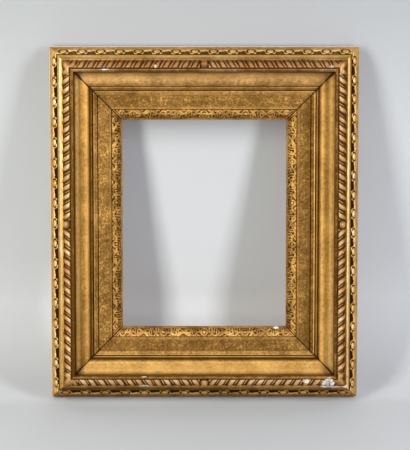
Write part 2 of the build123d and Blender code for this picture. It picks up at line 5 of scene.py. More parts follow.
import bpy
import numpy as np
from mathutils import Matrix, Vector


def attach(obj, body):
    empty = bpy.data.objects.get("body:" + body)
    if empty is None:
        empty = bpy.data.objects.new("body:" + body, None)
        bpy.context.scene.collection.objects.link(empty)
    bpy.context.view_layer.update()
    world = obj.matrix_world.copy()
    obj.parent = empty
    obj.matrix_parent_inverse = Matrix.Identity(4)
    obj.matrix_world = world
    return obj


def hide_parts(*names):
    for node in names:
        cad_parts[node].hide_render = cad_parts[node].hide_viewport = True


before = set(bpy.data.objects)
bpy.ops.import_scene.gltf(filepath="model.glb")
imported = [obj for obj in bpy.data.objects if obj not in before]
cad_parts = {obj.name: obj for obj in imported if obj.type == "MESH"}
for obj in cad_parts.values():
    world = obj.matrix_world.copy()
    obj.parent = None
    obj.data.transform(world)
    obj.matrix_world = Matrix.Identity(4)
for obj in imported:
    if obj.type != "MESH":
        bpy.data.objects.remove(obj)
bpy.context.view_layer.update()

# Sizes in millimetres, as in the part's source. "Out" runs away from the sight edge and "height" to the
# front, from the back frame's front face.
HALF_WIDTH = 95.8
HALF_HEIGHT = 121.2
SEAT_FRONT = 18.0
REBATE_OUT = 7.3
SIGHT_LOW = 0.6
SIGHT_WIDTH = 12.4
SIGHT_TOP = 5.4
LINER_WIDTH = 37.7
RIM_INNER = 54.7
CREST_HEIGHT = 28.0
ROPE_OUT = 57.6
ROPE_HEIGHT = 25.0
ASTRAGAL_OUT = 69.007
ASTRAGAL_HEIGHT = 14.393
RIBBON_OUT = 74.607
RIBBON_HEIGHT = 4.393
LEDGE_OUT = 83.842
LEDGE_HEIGHT = -7.427
RIM_OUTER = 85.242
BACK_LIP_OUT = 71.242
SEAT_HALF = 7.5
STRIP_HALF = 6.9
ROPE_TILT = math.radians(45)
RIBBON_TILT = math.radians(52)
SIGHT_TILT = -math.atan2(SIGHT_TOP - SIGHT_LOW, SIGHT_WIDTH)
OPEN_MITRE = 0.5
CLOSED_MITRE = 0.04

SIDES = ("top", "right", "bottom", "left")

# White losses: across and up from the frame's middle, then half sizes, as seen from the front
LOSSES = (
    (144.8, -180.0, 3.8, 3.0),
    (144.5, -185.4, 7.4, 3.6),
    (142.0, -190.4, 6.0, 1.2),
    (153.0, -191.0, 8.0, 0.9),
    (165.0, -190.4, 2.2, 1.5),
    (118.5, -182.4, 3.6, 2.2),
    (-70.2, -176.8, 3.2, 0.5),
    (-71.4, -189.2, 5.0, 1.2),
    (84.6, -122.6, 3.0, 1.4),
    (-114.5, 178.6, 5.0, 0.9),
    (146.2, 181.8, 1.8, 1.4),
    (-56.2, 182.5, 1.6, 1.6),
)
LOSS_RAGGED = 0.5
LOSS_GRAIN = 1.9
LOSS_SEED = 91


# Fixed noise
def lattice(ix, iy, seed):
    """A fixed value from 0 to 1 for each whole-number point."""
    h = (ix * 374761393 + iy * 668265263 + seed * 144269504) & 0xFFFFFFFF
    h = ((h ^ (h >> 13)) * 1274126177) & 0xFFFFFFFF
    return ((h ^ (h >> 16)) & 0xFFFF) / 65535.0


def noise(x, y, seed):
    """Smooth noise from -1 to 1 with one cell per unit."""
    x, y = np.broadcast_arrays(np.asarray(x, float), np.asarray(y, float))
    ix = np.floor(x).astype(np.int64)
    iy = np.floor(y).astype(np.int64)
    u = x - ix
    v = y - iy
    u = u * u * (3 - 2 * u)
    v = v * v * (3 - 2 * v)
    low = lattice(ix, iy, seed) * (1 - u) + lattice(ix + 1, iy, seed) * u
    high = lattice(ix, iy + 1, seed) * (1 - u) + lattice(ix + 1, iy + 1, seed) * u
    return 2 * (low * (1 - v) + high * v) - 1


def rough_noise(x, y, seed, octaves=3):
    """Noise from -1 to 1, with finer noise on it."""
    total = 0
    for i in range(octaves):
        total = total + noise(x * 2**i, y * 2**i, seed + i) * 0.5**i
    return total / (2 - 0.5 ** (octaves - 1))


def ease(x, low, high):
    """From 0 at low to 1 at high, without corners. low may be the larger one."""
    t = np.clip((x - low) / (high - low), 0, 1)
    return t * t * (3 - 2 * t)


def half_round(x):
    """The height of a half round, which runs from -1 to 1."""
    return np.sqrt(np.clip(1 - x**2, 0, 1))


def ridge(x, width):
    """1 at 0, and falling off to both sides."""
    return np.exp(-((x / width) ** 2))


def blurred(a, reach):
    """A box blur, run twice."""
    width = 2 * reach + 1
    for _ in range(2):
        for axis in (0, 1):
            pad = [(reach, reach) if i == axis else (0, 0) for i in (0, 1)]
            total = np.cumsum(np.pad(a, pad, mode="edge"), axis)
            total = np.insert(total, 0, 0, axis)
            first = np.arange(a.shape[axis])
            a = (np.take(total, first + width, axis) - np.take(total, first, axis)) / width
    return a


# Places on a rail
def half_sizes(side):
    """Half the sight length along a rail, and the sight edge's distance from the middle."""
    return (HALF_HEIGHT, HALF_WIDTH) if side in ("left", "right") else (HALF_WIDTH, HALF_HEIGHT)


def placed(side, along, out, height):
    """Points of a rail in metres."""
    along, out, height = np.broadcast_arrays(along, out, height)
    x, z = along, half_sizes(side)[1] + out
    for _ in range(SIDES.index(side)):
        x, z = z, -x
    return np.stack((x, -SEAT_FRONT - height, z), -1) * 0.001


def loss_field(points):
    """How deep in a white loss each point lies: over 0.5 inside, 0 well outside."""
    x, z = points[..., 0] * 1000, points[..., 2] * 1000
    edge = LOSS_RAGGED * rough_noise(x / LOSS_GRAIN, z / LOSS_GRAIN, LOSS_SEED)
    field = np.zeros(x.shape)
    for across, up, wide, tall in LOSSES:
        away = np.hypot((x - across) / wide, (z - up) / tall)
        field = np.maximum(field, np.clip(1.5 - away + edge, 0, 1))
    return field


# Meshes
def new_object(name, data):
    """A new object in the scene."""
    piece = bpy.data.objects.new(name, data)
    bpy.context.scene.collection.objects.link(piece)
    return piece


# Attributes of a gilded point, where a mesh doesn't give its own
PLAIN_LOOK = {"gilt": 1, "sand": 0, "up": 0, "loss": 0}


def add_mesh(name, points, faces, attributes, sharp=55):
    """A smooth-shaded closed mesh with point attributes, which are spread over all of its points."""
    mesh = bpy.data.meshes.new(name)
    mesh.from_pydata(points.reshape(-1, 3).tolist(), [], faces)
    mesh.validate()
    mesh.polygons.foreach_set("use_smooth", np.ones(len(mesh.polygons), bool))
    mesh.set_sharp_from_angle(angle=math.radians(sharp))
    for key, values in {**PLAIN_LOOK, **attributes}.items():
        layer = mesh.attributes.new(key, "FLOAT", "POINT")
        spread = np.broadcast_to(values, points.shape[:-1])
        layer.data.foreach_set("value", spread.astype(np.float32).ravel())
    return new_object(name, mesh)


def grid_faces(rows, columns):
    """Quads over a grid of points, row by row."""
    i, j = np.meshgrid(np.arange(rows - 1), np.arange(columns - 1), indexing="ij")
    a = (i * columns + j).ravel()
    return np.stack((a, a + columns, a + columns + 1, a + 1), 1).tolist()


def tube_faces(rows, columns):
    """Faces of a tube whose rows run round it, with a cap on each end."""
    faces = grid_faces(rows, columns)
    i = np.arange(rows - 1) * columns
    faces += np.stack((i + columns - 1, i + 2 * columns - 1, i + columns, i), 1).tolist()
    last = (rows - 1) * columns
    return [*faces, list(range(columns)), list(range(last, last + columns))[::-1]]


def footed_faces(rows, columns):
    """Faces of a relief, whose points are followed by those of its inner and outer foot."""
    n = rows * columns
    i = np.arange(rows - 1)
    inner, outer = n + i, n + rows + i
    first, last = i * columns, i * columns + columns - 1
    faces = grid_faces(rows, columns)
    faces += np.stack((inner, inner + 1, first + columns, first), 1).tolist()
    faces += np.stack((last, last + columns, outer + 1, outer), 1).tolist()
    faces += np.stack((outer, outer + 1, inner + 1, inner), 1).tolist()
    faces.append([n, *range(columns), n + rows])
    faces.append([n + rows - 1, *range(n - columns, n), n + 2 * rows - 1][::-1])
    return faces


def dress(piece, node, material):
    """Lets a piece stand for its CAD node."""
    piece.data.materials.append(material)
    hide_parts(node)
    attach(piece, "frame")


# Moulding sections: out, height, tone of the gilding, red ground showing through, sanded texture
def arc_points(start, end, bulge, count, look):
    """Points between two ends of a round or, with a negative bulge, of a hollow."""
    start, end = np.array(start), np.array(end)
    chord = end - start
    length = np.hypot(*chord)
    normal = np.array((-chord[1], chord[0])) / length
    radius = (length**2 / 4 + bulge**2) / (2 * abs(bulge))
    half_turn = math.asin(min(1, length / 2 / radius))
    turns = np.linspace(-half_turn, half_turn, count)[1:-1]
    rise = (np.cos(turns) - math.cos(half_turn)) * radius * np.sign(bulge)
    run = np.sin(turns) * radius / length + 0.5
    return [(*(start + chord * r + normal * h), *look) for r, h in zip(run, rise)]


def toned(points, tones):
    """Section points with tones spread evenly from the first to the last."""
    spread = np.interp(np.linspace(0, 1, len(points)), np.linspace(0, 1, len(tones)), tones)
    return [(out, height, tone, *look) for (out, height, _, *look), tone in zip(points, spread)]


def per_side(left, right, top, bottom):
    """One value for each side."""
    return {"left": left, "right": right, "top": top, "bottom": bottom}


# Each side's gilding has worn in its own way, and the cove, astragal, ribbon and rope tones also paint
# highlights and shade. Tones run from 0, dark, to 1, pale.
# Liner: tones of its fillets, of its frieze near and far from the sight edge, then of its groove, slope,
# line, bead and outer edge
LINER_TONE = {
    "left": (0.24, 0.27, 0.31, 0.1, 0.18, 0.32, 0.1, 0.1),
    "right": (0.28, 0.22, 0.0, 0.1, 0.06, 0.6, 0.3, 0.1),
    "top": (0.42, 0.2, 0.2, 0.4, 0.28, 0.4, 0.2, 0.35),
    "bottom": (0.4, 0.2, 0.2, 0.4, 0.36, 0.42, 0.5, 0.1),
}
# Cove: tones of its foot, lip, shoulder, flat, hollow and outer end. Besides wear they paint its bands
# of highlight and shade; the dark outer end on the left and top rails is painted shade under the crest
COVE_TONE_AND_LIGHT = {
    "left": (0.42, 0.53, 0.28, 0.33, 0.86, -0.6),
    "right": (0.32, 0.55, 0.6, 0.52, 0.92, 1.0),
    "top": (0.25, 0.25, 0.35, 0.44, 0.5, 0.06),
    "bottom": (-0.1, 0.57, 0.62, 0.68, 0.78, 0.54),
}
# How much brighter a cove's gilding is at its clockwise end than at its middle
COVE_FADE = per_side(0.06, 0.05, 0.0, 0.0)
# Astragal: tone of the flat by the rope, then five tones over its round, which paint a highlight where
# it faces the lamps and shade where it turns away; the bottom rail's round, facing down, is painted
# mostly dark
ASTRAGAL_TONE_AND_LIGHT = {
    "left": (0.5, (0.75, 0.88, 0.7, 0.15, 0.0)),
    "right": (0.1, (0.28, 1.0, 0.62, 0.0, 0.0)),
    "top": (0.6, (0.25, 0.5, 0.85, 0.65, 0.4)),
    "bottom": (0.75, (0.4, 0.12, 0.0, -0.1, -0.1)),
}
# Crest: tone, red ground showing through, tone of the worn line on its outer edge
CREST_LOOK = {
    "left": (-0.2, 0.1, -0.15),
    "right": (0.08, 0.45, 0.1),
    "top": (-0.1, 0.35, 0.4),
    "bottom": (0.32, 0.4, 0.42),
}
# Ribbon: tone added to all of it, darker on the bottom rail, which faces down, as painted shade; a
# painted highlight on its beads' inner halves; painted shade in its notches; and dirt and painted shade
# round its beads
RIBBON_TONE_AND_SHADE = per_side(0.1, 0.0, -0.03, -0.2)
BEAD_HIGHLIGHT = per_side(0.04, 0.12, -0.1, 0.0)
NOTCH_SHADE = per_side(1.0, 1.0, -0.3, 0.8)
BEAD_RING_DIRT_AND_SHADE = per_side(0.9, 0.9, 0.35, 0.35)
# Rope: tone added, darkest on the top rail, which faces up and away, as painted shade; red added; how
# high its gaps lie as a share of its strands; and the dirt and painted shade in them
ROPE_TONE_AND_SHADE = per_side(-0.02, -0.08, -0.35, 0.03)
ROPE_RED = per_side(0.25, 0.25, 0.5, 0.5)
ROPE_FLOOR = per_side(0.16, 0.16, 0.45, 0.4)
ROPE_GAP_DIRT_AND_SHADE = per_side(0.52, 0.52, 0.2, 0.15)
# Sight leaf: tone added
SIGHT_LIFT = per_side(-0.18, -0.1, -0.13, -0.03)
# How much brighter a rim's gilding is at its clockwise end than at its middle; on the left rail this
# paints the light falling off down the rail
RIM_FADE = per_side(0.1, 0.0, 0.0, -0.08)
# Bare pale edge along the rim's outer ledge
EDGE_DUST = per_side(1.1, 0.95, 1.15, 0.0)
# Dust on faces that look away from the sight edge, or towards it where negative
SLOPE_DUST = per_side(0.0, 0.0, 0.7, -0.1)
CREST_DUST = 0.6  # on the top rail's crest


def liner_path(side):
    """The liner's section, with each side's own wear."""
    fillet, frieze, far, groove, slope, line, bead, edge = LINER_TONE[side]
    return [
        (0, -1.0, 0.2, 0.3, 0),
        (0, SIGHT_LOW, 0.2, 0.35, 0),
        (2.2, 1.45, 0.25, 0.35, 0),
        (SIGHT_WIDTH, SIGHT_TOP, 0.3, 0.2, 0),
        (SIGHT_WIDTH, 7.2, fillet, 0.1, 0),
        (13.5, 7.25, fillet, 0.1, 0),
        (13.9, 6.7, 0.3, 0.1, 0),
        (14.3, 7.1, fillet, 0.1, 0),
        (15.0, 7.2, fillet, 0.1, 0),
        (15.0, 6.6, frieze, 0.1, 1),
        (21.0, 7.0, 0.6 * frieze + 0.4 * far, 0.1, 1),
        (27.6, 7.4, far, 0.1, 1),
        (27.6, 6.0, groove, 0.1, 0),
        (28.4, 6.0, groove, 0.1, 0),
        (28.4, 7.9, slope, 0.05, 0.5),
        (31.6, 8.8, slope, 0.05, 0.5),
        (32.0, 8.9, line, 0.05, 0),
        (33.0, 9.2, line, 0.05, 0),
        (33.0, 6.2, 0.1, 0.1, 0),
        (33.9, 6.2, 0.1, 0.1, 0),
        *arc_points((33.9, 6.2), (36.6, 6.2), 1.349, 11, (bead, 0.05, 0)),
        (36.6, 6.2, edge, 0.1, 0),
        (LINER_WIDTH, 6.2, edge, 0.1, 0),
    ]


def cove_path(side):
    """The cove's section, with each side's own wear, painted highlight and painted shade."""
    foot, lip, shoulder, flat, hollow, end = COVE_TONE_AND_LIGHT[side]
    lip_arc = arc_points((LINER_WIDTH, 6.4), (44.0, 11.0), 1.49, 16, (lip, 0.2, 0))
    hollow_arc = arc_points((49.0, 10.5), (RIM_INNER, 15.4), -1.61, 16, (hollow, 0.2, 0))
    return [
        (LINER_WIDTH, 5.6, 0.1, 0.1, 0),
        (LINER_WIDTH, 6.4, foot, 0.1, 0),
        *toned(lip_arc, (foot, 0.5 * (foot + lip), lip, 0.5 * (lip + shoulder))),
        (44.0, 11.0, shoulder, 0.08, 0),
        (46.5, 10.75, flat, 0.2, 0),
        (49.0, 10.5, 0.5 * (flat + hollow), 0.08, 0),
        *toned(hollow_arc[:-3], (hollow, hollow, hollow, 0.75 * hollow + 0.25 * end)),
        (53.9, 14.4, 0.5 * (hollow + end), 0.1, 0),
        (RIM_INNER, 15.4, end, 0.0, 0),
    ]


def rim_path(side):
    """The rim's section, with each side's own wear and a painted highlight and shade on its astragal."""
    flat, tones = ASTRAGAL_TONE_AND_LIGHT[side]
    crest, red, line = CREST_LOOK[side]
    foot = (RIBBON_OUT, ASTRAGAL_HEIGHT - 6.0)
    astragal = arc_points((ASTRAGAL_OUT, ASTRAGAL_HEIGHT), foot, 2.0, 17, (0.5, 0.05, 0))
    return [
        (RIM_INNER, 14.5, 0.0, 0.1, 0),
        (RIM_INNER, CREST_HEIGHT, 0.05, red, 0),
        (56.6, CREST_HEIGHT, crest, red, 0),
        (56.9, CREST_HEIGHT, line, 0.3 * red, 0),
        (ROPE_OUT, CREST_HEIGHT, line, 0.3 * red, 0),
        (ROPE_OUT, ROPE_HEIGHT, 0.0, 0.2, 0),
        (ASTRAGAL_OUT - 1.0, ASTRAGAL_HEIGHT + 0.2, 0.15, 0.3, 0),
        (ASTRAGAL_OUT - 0.8, ASTRAGAL_HEIGHT, flat, 0.2, 0),
        (ASTRAGAL_OUT, ASTRAGAL_HEIGHT, 0.5 * (flat + tones[0]), 0.1, 0),
        *toned(astragal, tones),
        (*foot, 0.6 * tones[-1], 0.05, 0),
        (RIBBON_OUT, RIBBON_HEIGHT, 0.1, 0.1, 0),
        (LEDGE_OUT, LEDGE_HEIGHT, 0.3, 0.15, 0),
        (RIM_OUTER, LEDGE_HEIGHT, 0.4, 0.3, 0),
        (RIM_OUTER, -16.5, 0.25, 0.35, 0),
    ]


LINER_BACK = [(LINER_WIDTH, 0), (REBATE_OUT, 0), (REBATE_OUT, -1.0)]
COVE_BACK = [(RIM_INNER, 0), (LINER_WIDTH, 0)]
RIM_BACK = [(RIM_OUTER, -SEAT_FRONT), (BACK_LIP_OUT, -SEAT_FRONT), (BACK_LIP_OUT, 0), (RIM_INNER, 0)]


def softened(path, corner=0.4, step=0.5):
    """A section path with small worn corners, sampled closely."""
    p = np.array(path, float)
    samples = [p[0]]
    t = np.linspace(0, 1, 5)[:, None]
    for i in range(1, len(p)):
        if i < len(p) - 1:
            before = np.hypot(*(p[i - 1] - p[i])[:2])
            after = np.hypot(*(p[i + 1] - p[i])[:2])
            a = p[i] + (p[i - 1] - p[i]) * min(0.45, corner / before)
            b = p[i] + (p[i + 1] - p[i]) * min(0.45, corner / after)
            bend = (1 - t) ** 2 * a + 2 * t * (1 - t) * p[i] + t**2 * b
        else:
            bend = p[i : i + 1]
        last = samples[-1]
        count = int(np.hypot(*(bend[0] - last)[:2]) / step)
        for k in range(1, count + 1):
            samples.append(last + (bend[0] - last) * k / (count + 1))
        samples.extend(bend)
    return np.array(samples)


def seat_section(out, height, tilt, across, off):
    """A seat's points in the section: across the seat, down the slope, and off it."""
    cos, sin = math.cos(tilt), math.sin(tilt)
    return out + across * cos + off * sin, height - across * sin + off * cos


def slope_seat(out, height, tilt):
    """The middle of a seat whose upper edge is given, and its tilt."""
    return out + SEAT_HALF * math.cos(tilt), height - SEAT_HALF * math.sin(tilt), tilt


ROPE_SEAT = slope_seat(ROPE_OUT, ROPE_HEIGHT, ROPE_TILT)
RIBBON_SEAT = slope_seat(RIBBON_OUT, RIBBON_HEIGHT, RIBBON_TILT)
SIGHT_SEAT = (0.0, SIGHT_LOW, SIGHT_TILT)

# Outlines of the section, bare and with its ornament, which shade each point's recess
strip_across = np.linspace(-STRIP_HALF, STRIP_HALF, 40)
rope_outline = seat_section(*ROPE_SEAT, strip_across, 1 + 3.0 * (1 - (strip_across / STRIP_HALF) ** 2))
ribbon_outline = seat_section(*RIBBON_SEAT, strip_across, np.full(len(strip_across), 1.6))
bare_paths = (liner_path("top"), cove_path("top"), rim_path("top"))
BARE_OUTLINE = np.concatenate([softened(path)[:, :2] for path in bare_paths])
OUTLINE = np.concatenate((BARE_OUTLINE, np.stack(rope_outline, 1), np.stack(ribbon_outline, 1)))


def recess(out, height, outline, reach=8.0):
    """From 0 on open surfaces to 1 in deep corners of the section."""
    shape = np.shape(out)
    out, height = np.ravel(out), np.ravel(height)
    run = outline[None, :, 0] - out[:, None]
    rise = outline[None, :, 1] - height[:, None]
    near = (np.abs(run) > 0.12) & (np.hypot(run, rise) < reach)
    angle = np.where(near, np.arctan2(rise, np.abs(run)), 0)
    left = np.where(run < 0, angle, 0).max(1).clip(0)
    right = np.where(run > 0, angle, 0).max(1).clip(0)
    return ((left + right) / math.pi).clip(0, 1).reshape(shape)


# Mouldings: steps between their rows and depths of their wear
ROW_STEP = 2.4
RAGGED = 0.35
UNEVEN = 0.09
DENT = 0.5
BLUNT = 1.1
CHIP = 0.3
BACK_LOOK = (0.1, 0.2, 0)


def mitre_ends(half, out, gilt, cut, seed):
    """A rail's reach either way at each point of its section. Open mitres close by the sight edge."""
    open_share = ease(out, REBATE_OUT + 0.5, REBATE_OUT + 2.5)
    ends = []
    for end in (0, 1):
        ragged = RAGGED * gilt * (0.5 + 0.5 * noise(out / 2.5, end * 7.3, seed))
        gap = CLOSED_MITRE + (cut - CLOSED_MITRE + ragged) * open_share
        ends.append(half + out - (gap if cut else 0))
    return ends


def rail(node, side, path, back, cut, seed, fade=0.0, streaks=0.05, swept=()):
    """A moulding rail with worn corners, an uneven face, ragged mitres and bands of weaker dirt and
    painted shade.
    """
    half = half_sizes(side)[0]
    front = softened(path)
    loop = np.concatenate((front[:, :2], np.array(back, float)))
    look = np.concatenate((front[:, 2:], np.tile(BACK_LOOK, (len(back), 1))))
    gilt = np.concatenate((np.ones(len(front)), np.zeros(len(back))))
    out, height = loop.T
    step = np.roll(loop, -1, 0) - np.roll(loop, 1, 0)
    stride = np.hypot(*step.T)
    girth = np.cumsum(stride / 2)
    normal = np.stack((-step[:, 1], step[:, 0]), 1) / stride[:, None]
    count = int(2 * (half + out.max()) / ROW_STEP)
    t = np.linspace(-1, 1, count)[:, None]
    ends = mitre_ends(half, out, gilt, cut, seed)
    along = np.where(t < 0, t * ends[0], t * ends[1])
    to_end = np.minimum(*ends) - np.abs(along)
    hollow = recess(out, height, OUTLINE)
    for low, high in swept:
        hollow = np.where((out > low) & (out < high), 0.3 * hollow, hollow)
    uneven = UNEVEN + UNEVEN * rough_noise(along / 24, girth / 9, seed + 3)
    dents = DENT * ease(noise(along / 7, out / 4, seed + 9), 0.86, 1.0)
    blunt = BLUNT * ease(to_end, 4, 0) * ease(out, LEDGE_OUT, RIM_OUTER)
    sink = gilt * (uneven + dents) * (1 - 0.6 * hollow) + blunt
    along = along - np.sign(along) * blunt
    points = placed(side, along, out - normal[:, 0] * sink, height - normal[:, 1] * sink)
    loss = loss_field(points) * gilt
    sink = sink + CHIP * ease(loss, 0.4, 0.7)
    points = placed(side, along, out - normal[:, 0] * sink, height - normal[:, 1] * sink)
    corner = 0.3 * ease(to_end, 2.5, 0) + 0.05 * ease(to_end, 14, 0)
    streak = rough_noise(along / 38, girth / 1.4, seed + 13, 2)
    up = (SLOPE_DUST[side] * normal[:, 0]).clip(0)
    if side == "top":
        up = np.where(height > CREST_HEIGHT - 1, CREST_DUST, up)
    ledge = ease(out, LEDGE_OUT - 0.1, LEDGE_OUT + 0.4)
    ledge = ledge * ease(height, -14, LEDGE_HEIGHT - 0.5)
    attributes = {
        "gilt": gilt,
        "tone": look[:, 0] + fade * along / half + streaks * streak,
        "red": look[:, 1] + 0.15 * streak.clip(0),
        "sand": look[:, 2],
        "recess": np.clip(hollow + corner * (cut > 0), 0, 1),
        "up": np.maximum(up, EDGE_DUST[side] * ledge),
        "loss": loss,
    }
    return add_mesh(node + "_face", points, tube_faces(count, len(loop)), attributes)


# Pressed ornament
RELIEF_SHARP = 65  # degrees between faces that stay sharp
LEAST_RELIEF = 0.15


def with_foot(shape, looks):
    """Attributes of a relief's points and then of its foot's, from a pair of values for each."""
    attributes = {}
    for key, (top, foot) in looks.items():
        surface = np.broadcast_to(top, shape).ravel()
        attributes[key] = np.concatenate((surface, np.full(2 * shape[0], foot)))
    return attributes


def strip(node, side, seat, across, along_of, relief, looks):
    """A strip of ornament on a seat. along_of gives the places along the rail for points at some out."""
    off = np.ones((1, len(across)))
    for _ in range(3):
        out, height = seat_section(*seat, across, off)
        along = along_of(out)
        over = np.broadcast_to(across, along.shape)
        off = relief(along, over)
    out, height = seat_section(*seat, across, off)
    loss = loss_field(placed(side, along, out, height))
    off = np.maximum(off - 0.7 * ease(loss, 0.4, 0.6), LEAST_RELIEF)
    off -= 0.12 * ease(loss, 0.5, 0.7) * (0.5 + 0.5 * noise(along / 0.9, across / 0.9, 17))
    off = np.maximum(off, 0.8 * LEAST_RELIEF)
    out, height = seat_section(*seat, across, off)
    points = placed(side, along, out, height)
    feet = [placed(side, along[:, k], *seat_section(*seat, across[k], 0.0)) for k in (0, -1)]
    # Low places in the relief gather dirt and painted shade
    deep = (blurred(off, 5) - off) * 1.1 + (blurred(off, 12) - off) * 0.35
    crest = np.clip((off - blurred(off, 4)) * 1.6, 0, 1)
    tone, red, grime_and_shade = looks(along, over, off)
    hollow = np.clip(0.6 * recess(out, height, BARE_OUTLINE) + deep + grime_and_shade, 0, 1)
    upward = {"top": 1, "bottom": -1}.get(side, 0) * math.sin(seat[2])
    attributes = with_foot(
        off.shape,
        {
            "tone": (np.clip(tone + 0.2 * crest, 0, 1), 0.1),
            "red": (np.clip(red + 0.2 * crest, 0, 1), 0.2),
            "recess": (hollow, 0.9),
            "up": (max(0.0, 0.3 * upward), 0),
            "loss": (loss, 0),
        },
    )
    points = np.concatenate((points.reshape(-1, 3), *feet))
    return add_mesh(node + "_relief", points, footed_faces(*off.shape), attributes, RELIEF_SHARP)


RAIL_REACH = 60.0  # beyond the sight edge, for counting rows


def mitred(side, cut, step):
    """Places along a whole rail, up to its mitres."""
    half = half_sizes(side)[0]
    count = int(2 * (half + RAIL_REACH) / step)
    t = np.linspace(-1, 1, count)[:, None]
    return lambda out: t * (half + out - cut)


RIBBON_PITCH = per_side(23.6, 22.4, 22.2, 23.4)
RIBBON_ROW_STEP = 0.42
RIBBON_COLUMNS = 35
BEAD_SHIFT = 1.5
BEAD_RADIUS = 3.8
BEAD_STRETCH = 1.15
BEAD_SOCKET = 4.2  # radius of the groove round a bead


def ribbon(side, seed):
    """A ribbon with a bead in each broad part and a dark notch by the astragal between them."""
    half = half_sizes(side)[0]
    length = 2 * (half + RIBBON_SEAT[0])
    pitch = length / round(length / RIBBON_PITCH[side])

    def from_bead(along):
        shift = 0.5 * noise(np.floor((along + length / 2) / pitch), 0.5, seed)
        return (along + length / 2) % pitch - pitch / 2 + shift

    def bead_distance(along, across):
        return np.hypot(from_bead(along) / BEAD_STRETCH, across + BEAD_SHIFT)

    def relief(along, across):
        u = from_bead(along)
        r = bead_distance(along, across)
        to_corner = length / 2 + across * math.cos(RIBBON_TILT) - np.abs(along)
        broad = np.maximum(ease(np.abs(u), 7.4, 5.0), ease(to_corner, 7.0, 4.5))
        edge = 0.55 * np.sin(u / pitch * 4 * math.pi) - 1.2 - 5.2 * broad
        inside = across - edge
        body = ease(inside, -0.3, 0.7)
        lip = ridge(inside - 0.9, 0.6)
        off = 0.25 + body * (1.05 + 0.5 * lip)
        wave = across - 2.6 * np.cos(u / pitch * 2 * math.pi) - 0.6
        off += 0.35 * ridge(wave, 0.8) * ease(r, 4.8, 5.8)
        off -= 0.9 * ridge(r - BEAD_SOCKET, 0.6)
        dome = 0.7 + 2.3 * half_round(r / BEAD_RADIUS)
        off = np.maximum(off, np.where(r < BEAD_RADIUS, dome, 0))
        wear = 0.14 * (1 + rough_noise(along / 6, across / 6, seed + 1, 2))
        return np.maximum(off - wear, 0.14)

    def looks(along, across, off):
        r = bead_distance(along, across)
        bead = ease(r, 4.0, 3.2)
        patch = 0.5 + 0.5 * rough_noise(along / 18, across / 18, seed + 5)
        notch = ease(off, 0.75, 0.35) * ease(across, 0.5, -1.0)
        ring = ease(np.abs(r - 4.15), 0.8, 0.2)
        body = ease(off, 0.9, 1.5) * ease(across, 4.8, 3.2)
        near = ease(across + BEAD_SHIFT, 1.5, -2.5)
        # The raised body is painted paler as a highlight and the notches darker as painted shade; each
        # bead's outer half is darker as painted shade and its inner half paler as a painted highlight.
        tone = 0.38 + 0.34 * body + RIBBON_TONE_AND_SHADE[side] - 0.3 * notch
        tone -= bead * (0.45 - (0.3 + BEAD_HIGHLIGHT[side]) * near)
        return tone, 0.12 + 0.3 * bead * patch, NOTCH_SHADE[side] * notch + BEAD_RING_DIRT_AND_SHADE[side] * ring

    across = np.linspace(-STRIP_HALF, STRIP_HALF, RIBBON_COLUMNS)
    along_of = mitred(side, 0, RIBBON_ROW_STEP)
    return strip(f"ribbon_{side}", side, RIBBON_SEAT, across, along_of, relief, looks)


ROPE_START = 5.0
ROPE_PITCH = 11.0
ROPE_ROUND = 8.2  # radius on which the strands lie
ROPE_SLANT = math.radians(24)
ROPE_ROW_STEP = 0.4
ROPE_COLUMNS = 37
LEAF_LENGTH = 12.0
LEAF_ROWS = 44
LEAF_COLUMNS = 33


def bulge(across, rise):
    """A round's height over its strip, from none at the edges."""
    radius = (STRIP_HALF**2 + rise**2) / (2 * rise)
    return np.sqrt(radius**2 - np.clip(across, -STRIP_HALF, STRIP_HALF) ** 2) - radius + rise


def rope_end(side):
    """Where the rope stops and the corner leaf starts, along the rail from its middle."""
    return half_sizes(side)[0] + ROPE_SEAT[0] - LEAF_LENGTH - 0.2


def twist(side, along, across, seed):
    """How high a rope's slanted strands and the thin cords between them stand, from 0 to 1."""
    run = rope_end(side) - ROPE_START
    pitch = run / round(run / ROPE_PITCH)
    lean = ROPE_ROUND * np.arcsin(np.clip(across / ROPE_ROUND, -1, 1)) * math.tan(ROPE_SLANT)
    phase = (np.abs(along) + lean - ROPE_START) / pitch
    jitter = 0.08 * noise(np.floor(phase), 2.5, seed)
    jitter = jitter + 0.05 * rough_noise(along / 7, across / 7, seed + 6)
    f = (phase + jitter) % 1.0
    strand_half = 0.29 - 0.1 * ease(across, -1.0, 5.5)
    cord_half = 0.08
    cord_rise = 0.5 * ease(across, 4.0, 0.0)
    if side == "top":
        strand_half = strand_half - 0.04
        cord_half = 0.13
        cord_rise = 0.75
    cord = cord_rise * half_round((f - 0.83) / cord_half)
    return np.maximum(half_round((f - 0.36) / strand_half), cord)


